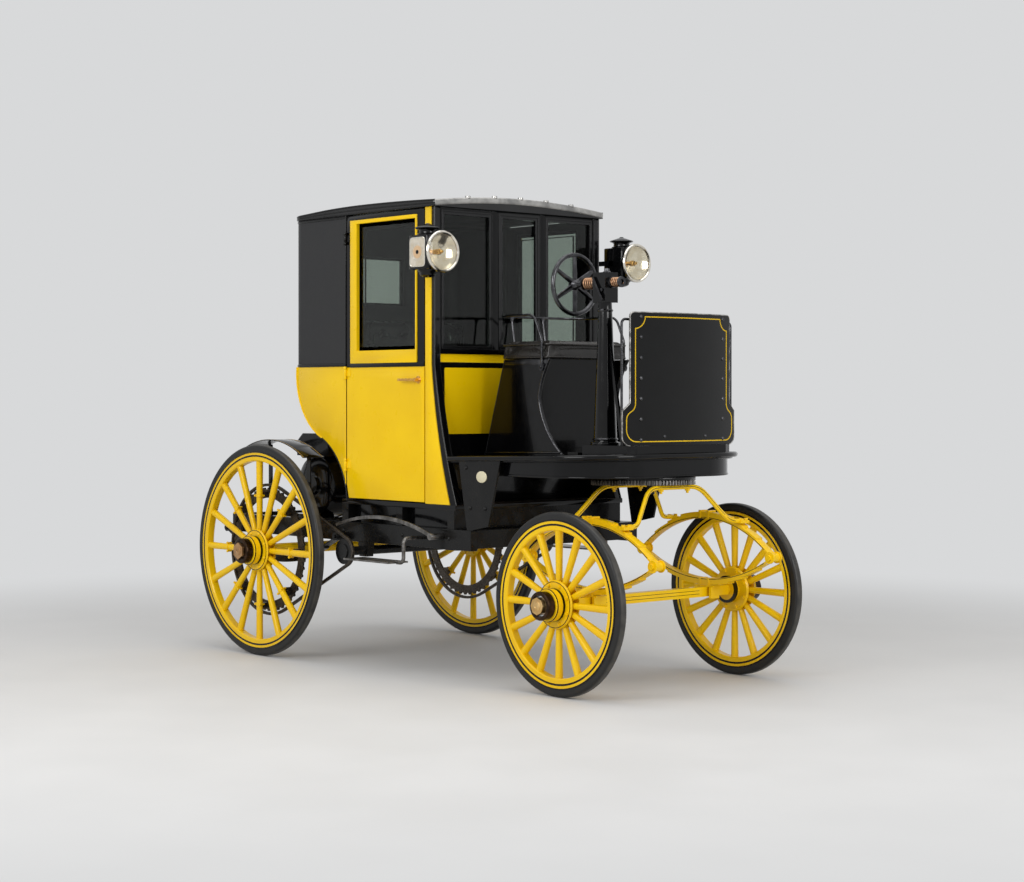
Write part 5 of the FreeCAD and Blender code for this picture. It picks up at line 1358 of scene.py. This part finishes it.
# %% Bolts, clips and axle lines
BEAM_HALF, BEAM_Z, EYE_Z = 0.0225, 0.4056, 0.585
CLIP = Vector((0.0065, 0.0245, 0.018))
fore = bmesh.new()
for face in (-1, 1):
    x = FRONT_X - REAR_X + BEAM_HALF * face
    for height in (BEAM_Z - 0.0075, BEAM_Z + 0.0075):
        into(fore, swept([at(x, -0.300, height), at(x, 0.300, height)], 0.0010, 0.0022, sides=4), 0)
for end in (-1, 1):
    for y in (-0.085, 0.085):
        top = Vector((FRONT_X + TOP_OUT * end, y, IRON_TOP - 0.008))
        into(fore, rod(top, top - UP * 0.010, 0.0125, sides=6), 1)
        into(fore, rod(top - UP * 0.008, top - UP * 0.020, 0.0065, sides=10), 1)
for y in (-SPRING_Y, SPRING_Y):
    for end in (-1, 1):
        for face in (-0.028, 0.028):
            plate = Vector((FRONT_X + SPRING_HALF * end, y + face, EYE_Z))
            into(fore, rod(plate, plate + ACROSS * math.copysign(0.0085, face), 0.0135, sides=6), 1)
    for height in (0.4515, 0.7665):
        for x in (-0.026, 0.026):
            clip = Vector((FRONT_X + x, y, height))
            into(fore, block(clip - CLIP, clip + CLIP), 1)

# %% [markdown]
# A fine line also follows the outer leaf of each spring, above and below. The
# leaf is an arc through the crown, so the line is an arc as well, half a leaf
# further out.

# %% Lines of the springs
LEAF_T, LINE_REACH = 0.0075, 0.374
for crown in (0.747, 0.467):
    rise = crown - EYE_Z
    leaf_r = (SPRING_HALF ** 2 + rise ** 2) / (2 * abs(rise))
    r = leaf_r + LEAF_T / 2
    end = crown - math.copysign(leaf_r - math.sqrt(r ** 2 - LINE_REACH ** 2), rise)
    for y in [SPRING_Y * sign + 0.0222 * face for sign in (-1, 1) for face in (-1, 1)]:
        line = bowed((FRONT_X - LINE_REACH, y, end), (FRONT_X + LINE_REACH, y, end), r, (0, 0, rise), 24)
        into(fore, swept(line, 0.0012, 0.0030, sides=4), 0)
piece("fore_carriage_trim", fore, [WHEEL_BLACK, WHEEL_YELLOW], "fore_carriage", 0.7)

# %% [markdown]
# **Under the floor.** A cream enamel disc marks the right hanger plate, bolts
# run along the side rails, and a fine gold line follows the edges of the rear
# guards.

# %% Hanger disc and guard lines
GUARD_R, REAR_AXLE_Z, RAIL_Z = 0.561, 0.535, 0.650
under = bmesh.new()
spot = at(1.538, -SIDE, 0.946)
plate = turned([(0, 0), (0, 0.029), (0.003, 0.029), (0.005, 0.026), (0.0065, 0)], spot, (0, -1, 0))
into(under, stretched(plate, spot, (1.25, 1, 0.92)), 0)
for sign in (-1, 1):
    for x, z in ((1.425, 0.985), (1.455, 0.800), (1.560, 0.800)):
        into(under, dome(at(x, SIDE * sign, z), (0, sign, 0), 0.011, 0.007, 8), 1)
    for x in (-0.20, 0.10, 0.48, 0.95, 1.30):
        into(under, dome(at(x, SIDE * sign, RAIL_Z), (0, sign, 0), 0.010, 0.007, 8), 1)
    for y in (0.536, 0.652):
        angles = [math.radians(a) for a in range(58, 123, 4)]
        arc = [at(GUARD_R * math.cos(a), y * sign, REAR_AXLE_Z + GUARD_R * math.sin(a)) for a in angles]
        into(under, swept(arc, 0.0034, 0.0012, sides=4), 2)
piece("under_body_trim", under, [CREAM, IRON_BLACK, GOLD_LINE], "cab", sharper_than=40.0)

# %% [markdown]
# Black ironwork and yellow springs of the frame keep their shape. A weld joins
# their loose triangles on the fly, and a small bevel rounds the edges, so that
# they shine like painted metal and not like cut card.

# %% Softer edges on the ironwork
SOFTENED = {
    "side_rails": 3.0, "cross_members": 3.0, "hanger_plates": 2.0, "rear_springs": 0.8,
    "front_springs": 0.8, "front_axle": 2.5, "battery_box": 3.0, "driver_platform": 3.0,
    "driver_seat_box": 3.0, "motor": 4.0, "steering_column": 2.0, "brake_lever": 1.0, "steps": 1.5,
    "turntable_gear": 0.6, "steering_pinion": 0.5, "turntable_plate": 1.5, "countershaft": 1.5,
    "left_chain_ring": 0.8, "right_chain_ring": 0.8, "drive_chains": 2.0, "valance": 1.0,
    "rear_mudguards": 1.0, "rear_axle": 2.0, "roof": 3.0, "upper_body": 2.0, "passenger_seat_base": 1.0,
}
for name, millimetres in SOFTENED.items():
    part = NODES[name]
    weld = part.modifiers.new("joined", "WELD")
    weld.merge_threshold = SEAM * 2
    round_edges(part, millimetres)
print("softened:", len(SOFTENED))

# %% [markdown]
# **Seats.** Each cushion starts as the plain solid of the frame, a little
# smaller, is covered in an even mesh, and is blown up with cloth simulation
# while its underside and its buttons stay pinned. That gives leather the fat
# crown and the pulled-in creases that no bevel can.

# %% An even cover
def as_it_is_now(work):
    """A mesh with the object's modifiers applied at the present frame."""
    return bpy.data.meshes.new_from_object(work.evaluated_get(bpy.context.evaluated_depsgraph_get()))


def even_cover(node, voxel_mm, shrink):
    """The plain solid of the frame, a little smaller, as an object with an even mesh."""
    shape = bmesh.new()
    shape.from_mesh(NODES[node].data)
    bmesh.ops.remove_doubles(shape, verts=shape.verts, dist=SEAM * 2)
    low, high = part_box(node)
    stretched(shape, (low + high) / 2, (shrink, shrink, shrink))
    mesh = bpy.data.meshes.new(f"{node}_start")
    shape.to_mesh(mesh)
    shape.free()
    work = bpy.data.objects.new(f"{node}_start", mesh)
    bpy.context.scene.collection.objects.link(work)
    cover = work.modifiers.new("even_cover", "REMESH")
    cover.mode = "VOXEL"
    cover.voxel_size = voxel_mm * MM
    even = as_it_is_now(work)
    work.modifiers.clear()
    work.data = even
    return work


low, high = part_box("passenger_seat_back")
print("largest cushion:", [round(v, 2) for v in high - low], "m")

# %% [markdown]
# The simulation needs three things: air pressure inside, no weight, and a
# group of pinned points. Twenty steps are enough for the leather to fill out,
# and no point may travel further than the stuffing would push it.

# %% Blowing up a cushion
PRESSURE, STEPS = 4.0, 20


def stuffed(node, voxel_mm, swell_mm, pinned, shrink):
    """A padded copy of a frame part; pinned(point) says how far a point is held in, or None."""
    work = even_cover(node, voxel_mm, shrink)
    held = work.vertex_groups.new(name="held")
    for vert in work.data.vertices:
        hold = pinned(vert.co)
        if hold is not None:
            held.add([vert.index], 1.0, "REPLACE")
            vert.co += hold
    start = [vert.co.copy() for vert in work.data.vertices]
    cloth = work.modifiers.new("leather", "CLOTH")
    cloth.settings.use_pressure = True
    cloth.settings.uniform_pressure_force = PRESSURE
    cloth.settings.vertex_group_mass = "held"
    cloth.settings.effector_weights.gravity = 0.0
    cloth.settings.quality = 5
    scene = bpy.context.scene
    for step in range(1, STEPS + 1):
        scene.frame_set(step)
    blown = as_it_is_now(work)
    limit = swell_mm * MM
    for vert, home in zip(blown.vertices, start):
        move = vert.co - home
        if move.length > limit:
            vert.co = home + move.normalized() * limit
    scene.frame_set(1)
    bpy.data.objects.remove(work)
    blown.name = f"{node}_blown"
    return blown


def cushion(name, node, voxel_mm, swell_mm, pinned, shrink):
    mesh = stuffed(node, voxel_mm, swell_mm, pinned, shrink)
    mesh.materials.clear()
    mesh.materials.append(CUSHION_HIDE)
    mesh.shade_smooth()
    made = bpy.data.objects.new(name, mesh)
    bpy.context.scene.collection.objects.link(made)
    finer = made.modifiers.new("finer", "SUBSURF")
    finer.levels = finer.render_levels = 1
    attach(made, "cab")
    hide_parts(node)
    print(name, "has", len(mesh.polygons), "faces")


def pins(rests, buttons=(), reach=0.0, pull=None):
    """A rule for stuffed(): what rests stays put, and a patch round each button is pulled in."""
    def pinned(point):
        if rests(point):
            return Vector((0, 0, 0))
        if any((point - spot).length < reach for spot in buttons):
            return pull
        return None

    return pinned

# %% [markdown]
# The driver's cushion is one firm pad with piped edges. Its underside is
# pinned flat, because it rests on the seat box.

# %% Driver's cushion
low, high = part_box("driver_cushion")
PAD_LOW = low.z
cushion("driver_seat_pad", "driver_cushion", 6.0, 13.0,
        pins(lambda point: point.z < PAD_LOW + 0.012), shrink=0.975)
piping = bmesh.new()
x0, x1, y0, y1 = low.x + 0.003, high.x - 0.003, low.y + 0.003, high.y - 0.003
for height in (low.z + 0.008, high.z - 0.006):
    corners = [Vector((x, y, height)) for x, y in ((x0, y0), (x1, y0), (x1, y1), (x0, y1))]
    into(piping, swept(soft_ring(corners, 0.022), 0.009, 0.009, closed=True))
piece("driver_seat_piping", piping, [CUSHION_HIDE], "cab", sharper_than=80.0)

# %% [markdown]
# The passengers' bench is buttoned. Each button pins a small patch of leather
# deep in the stuffing, and the leather swells into soft diamonds between them.

# %% Where the buttons sit
BUTTONS_ACROSS = 7


def button_spots(low, high, rows, along):
    """Alternate rows are shifted by half a pitch; along(share, y) puts a button on the seat."""
    spots = []
    pitch = (high.y - low.y) / BUTTONS_ACROSS
    for row in range(rows):
        share = (row + 0.7) / (rows + 0.4)
        shift = 0.5 if row % 2 == 0 else 1.0
        count = BUTTONS_ACROSS - row % 2
        spots += [along(share, low.y + pitch * (i + shift)) for i in range(count)]
    return spots


back_low, back_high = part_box("passenger_seat_back")
bench_low, bench_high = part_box("passenger_seat_cushion")


def up_the_back(share, y):
    return at(0.250 - 0.060 * share, y, back_low.z + (back_high.z - back_low.z) * share)


def on_the_bench(share, y):
    return at(0.540 - 0.260 * share, y, bench_high.z)


def against_the_wall(point):
    return point.x < REAR_X + 0.166 - 0.046 * (point.z - back_low.z) / (back_high.z - back_low.z)


back_spots = button_spots(back_low, back_high, 4, up_the_back)
bench_spots = button_spots(bench_low, bench_high, 2, on_the_bench)
print("buttons:", len(back_spots), "in the back,", len(bench_spots), "in the bench")

# %% [markdown]
# The back is pinned where it meets the wall of the cab, and the bench on its
# underside. A button is a small dome that sits in its own hollow.

# %% Passengers' bench
cushion("passenger_back_pad", "passenger_seat_back", 9.0, 26.0,
        pins(against_the_wall, back_spots, 0.017, Vector((-0.022, 0, 0))), shrink=0.97)
cushion("passenger_bench_pad", "passenger_seat_cushion", 9.0, 20.0,
        pins(lambda point: point.z < bench_low.z + 0.014, bench_spots, 0.016, Vector((0, 0, -0.016))),
        shrink=0.98)
buttons = bmesh.new()
for spots, sunk, out in ((back_spots, BACK * 0.019, AHEAD), (bench_spots, UP * -0.014, UP)):
    for spot in spots:
        into(buttons, dome(spot + sunk, out, 0.011, 0.006, 10))
piece("bench_buttons", buttons, [CUSHION_HIDE], "cab")
print("seats stuffed")

# %% [markdown]
# The stage is a plain pale floor that fades into a pale room, so that no
# horizon cuts through the cab. The room's colour is what the eye and the
# mirrors see; the light that falls on the cab is weaker and comes from three
# large soft lamps and the room together.

# %% Floor
ROOM_COLOUR, FLOOR_DARK, FLOOR_PALE = "D8D9DA", "D2D1CF", "D6D5D3"
FLOOR_SIZE, FADE_START, FADE_END = 60.0, 2.2, 6.0


def seen_by_eye_or_mirror(tree):
    """One for rays from the camera, a mirror or a glass; nothing for the light itself."""
    rays = add(tree, "ShaderNodeLightPath")
    seen = rays.outputs["Is Camera Ray"]
    for kind in ("Is Glossy Ray", "Is Transmission Ray"):
        seen = add(tree, "ShaderNodeMath", {0: seen, 1: rays.outputs[kind]}, operation="MAXIMUM").outputs[0]
    return seen


def stage_finish():
    """A pale floor that fades into the colour of the room far from the cab."""
    made, tree, surface, where = finish("pale_studio_floor", **{"IOR": 1.3})
    cloud = grain(tree, where, 600.0)
    surfaced(tree, surface, mix_colours(tree, cloud, FLOOR_DARK, FLOOR_PALE), cloud, 0.6, 0.75)
    distance = add(tree, "ShaderNodeVectorMath", {0: where}, operation="LENGTH")
    faded = add(tree, "ShaderNodeMapRange", {
        "Value": distance.outputs["Value"], "From Min": FADE_START, "From Max": FADE_END,
    }, interpolation_type="SMOOTHSTEP")
    far = add(tree, "ShaderNodeMath", {
        0: faded.outputs["Result"], 1: seen_by_eye_or_mirror(tree),
    }, operation="MULTIPLY")
    room = add(tree, "ShaderNodeEmission", {"Color": linear(ROOM_COLOUR), "Strength": 1.0})
    both = add(tree, "ShaderNodeMixShader", {
        0: far.outputs[0], 1: surface.outputs["BSDF"], 2: room.outputs[0],
    })
    tree.links.new(both.outputs[0], tree.nodes["Material Output"].inputs["Surface"])
    return made


shape = bmesh.new()
bmesh.ops.create_grid(shape, x_segments=1, y_segments=1, size=FLOOR_SIZE / 2)
floor_mesh = bpy.data.meshes.new("floor")
shape.to_mesh(floor_mesh)
shape.free()
floor_mesh.materials.append(stage_finish())
floor = bpy.data.objects.new("floor", floor_mesh)
bpy.context.scene.collection.objects.link(floor)
print("floor:", FLOOR_SIZE, "m square, pale from", FADE_END, "m on")

# %% [markdown]
# A large soft lamp hangs overhead, one stands off the right side and one in
# front. Each is aimed at the middle of the cab, so its local minus Z looks
# there.

# %% Soft lamps
# columns: name, place, width and length, watts, aim
for name, place, size, watts, aim in (
        ("top_light", (0.5, -0.5, 6.5), (7.0, 6.0), 190.0, (0.0, 0.0, 1.0)),
        ("key_light", (1.5, -6.5, 3.6), (3.5, 2.5), 180.0, (0.0, 0.0, 1.1)),
        ("fill_light", (7.5, -0.5, 3.0), (3.0, 3.0), 170.0, (0.5, 0.0, 1.1))):
    lamp = bpy.data.lights.new(name, "AREA")
    lamp.shape = "RECTANGLE"
    lamp.size, lamp.size_y = size
    lamp.energy = watts
    made = bpy.data.objects.new(name, lamp)
    made.location = place
    made.rotation_euler = (Vector(aim) - Vector(place)).to_track_quat("-Z", "Y").to_euler()
    bpy.context.scene.collection.objects.link(made)
print("soft lamps:", len(bpy.data.lights))

# %% [markdown]
# The world lights the cab weakly from all round, but shows itself to the eye
# and to mirrors at the room's full colour. The standard view transform keeps
# every colour as it was written.

# %% The pale room
AIR_COLOUR, AIR_STRENGTH = "E2E3E5", 0.6
world = bpy.data.worlds.new("pale_room")
world.use_nodes = True
air = world.node_tree
room = air.nodes["Background"]
room.inputs["Color"].default_value = linear(AIR_COLOUR)
room.inputs["Strength"].default_value = AIR_STRENGTH
seen = add(air, "ShaderNodeBackground", {"Color": linear(ROOM_COLOUR), "Strength": 1.0})
both = add(air, "ShaderNodeMixShader", {
    0: seen_by_eye_or_mirror(air), 1: room.outputs[0], 2: seen.outputs[0],
})
air.links.new(both.outputs[0], air.nodes["World Output"].inputs["Surface"])
bpy.context.scene.world = world
bpy.context.scene.view_settings.view_transform = "Standard"
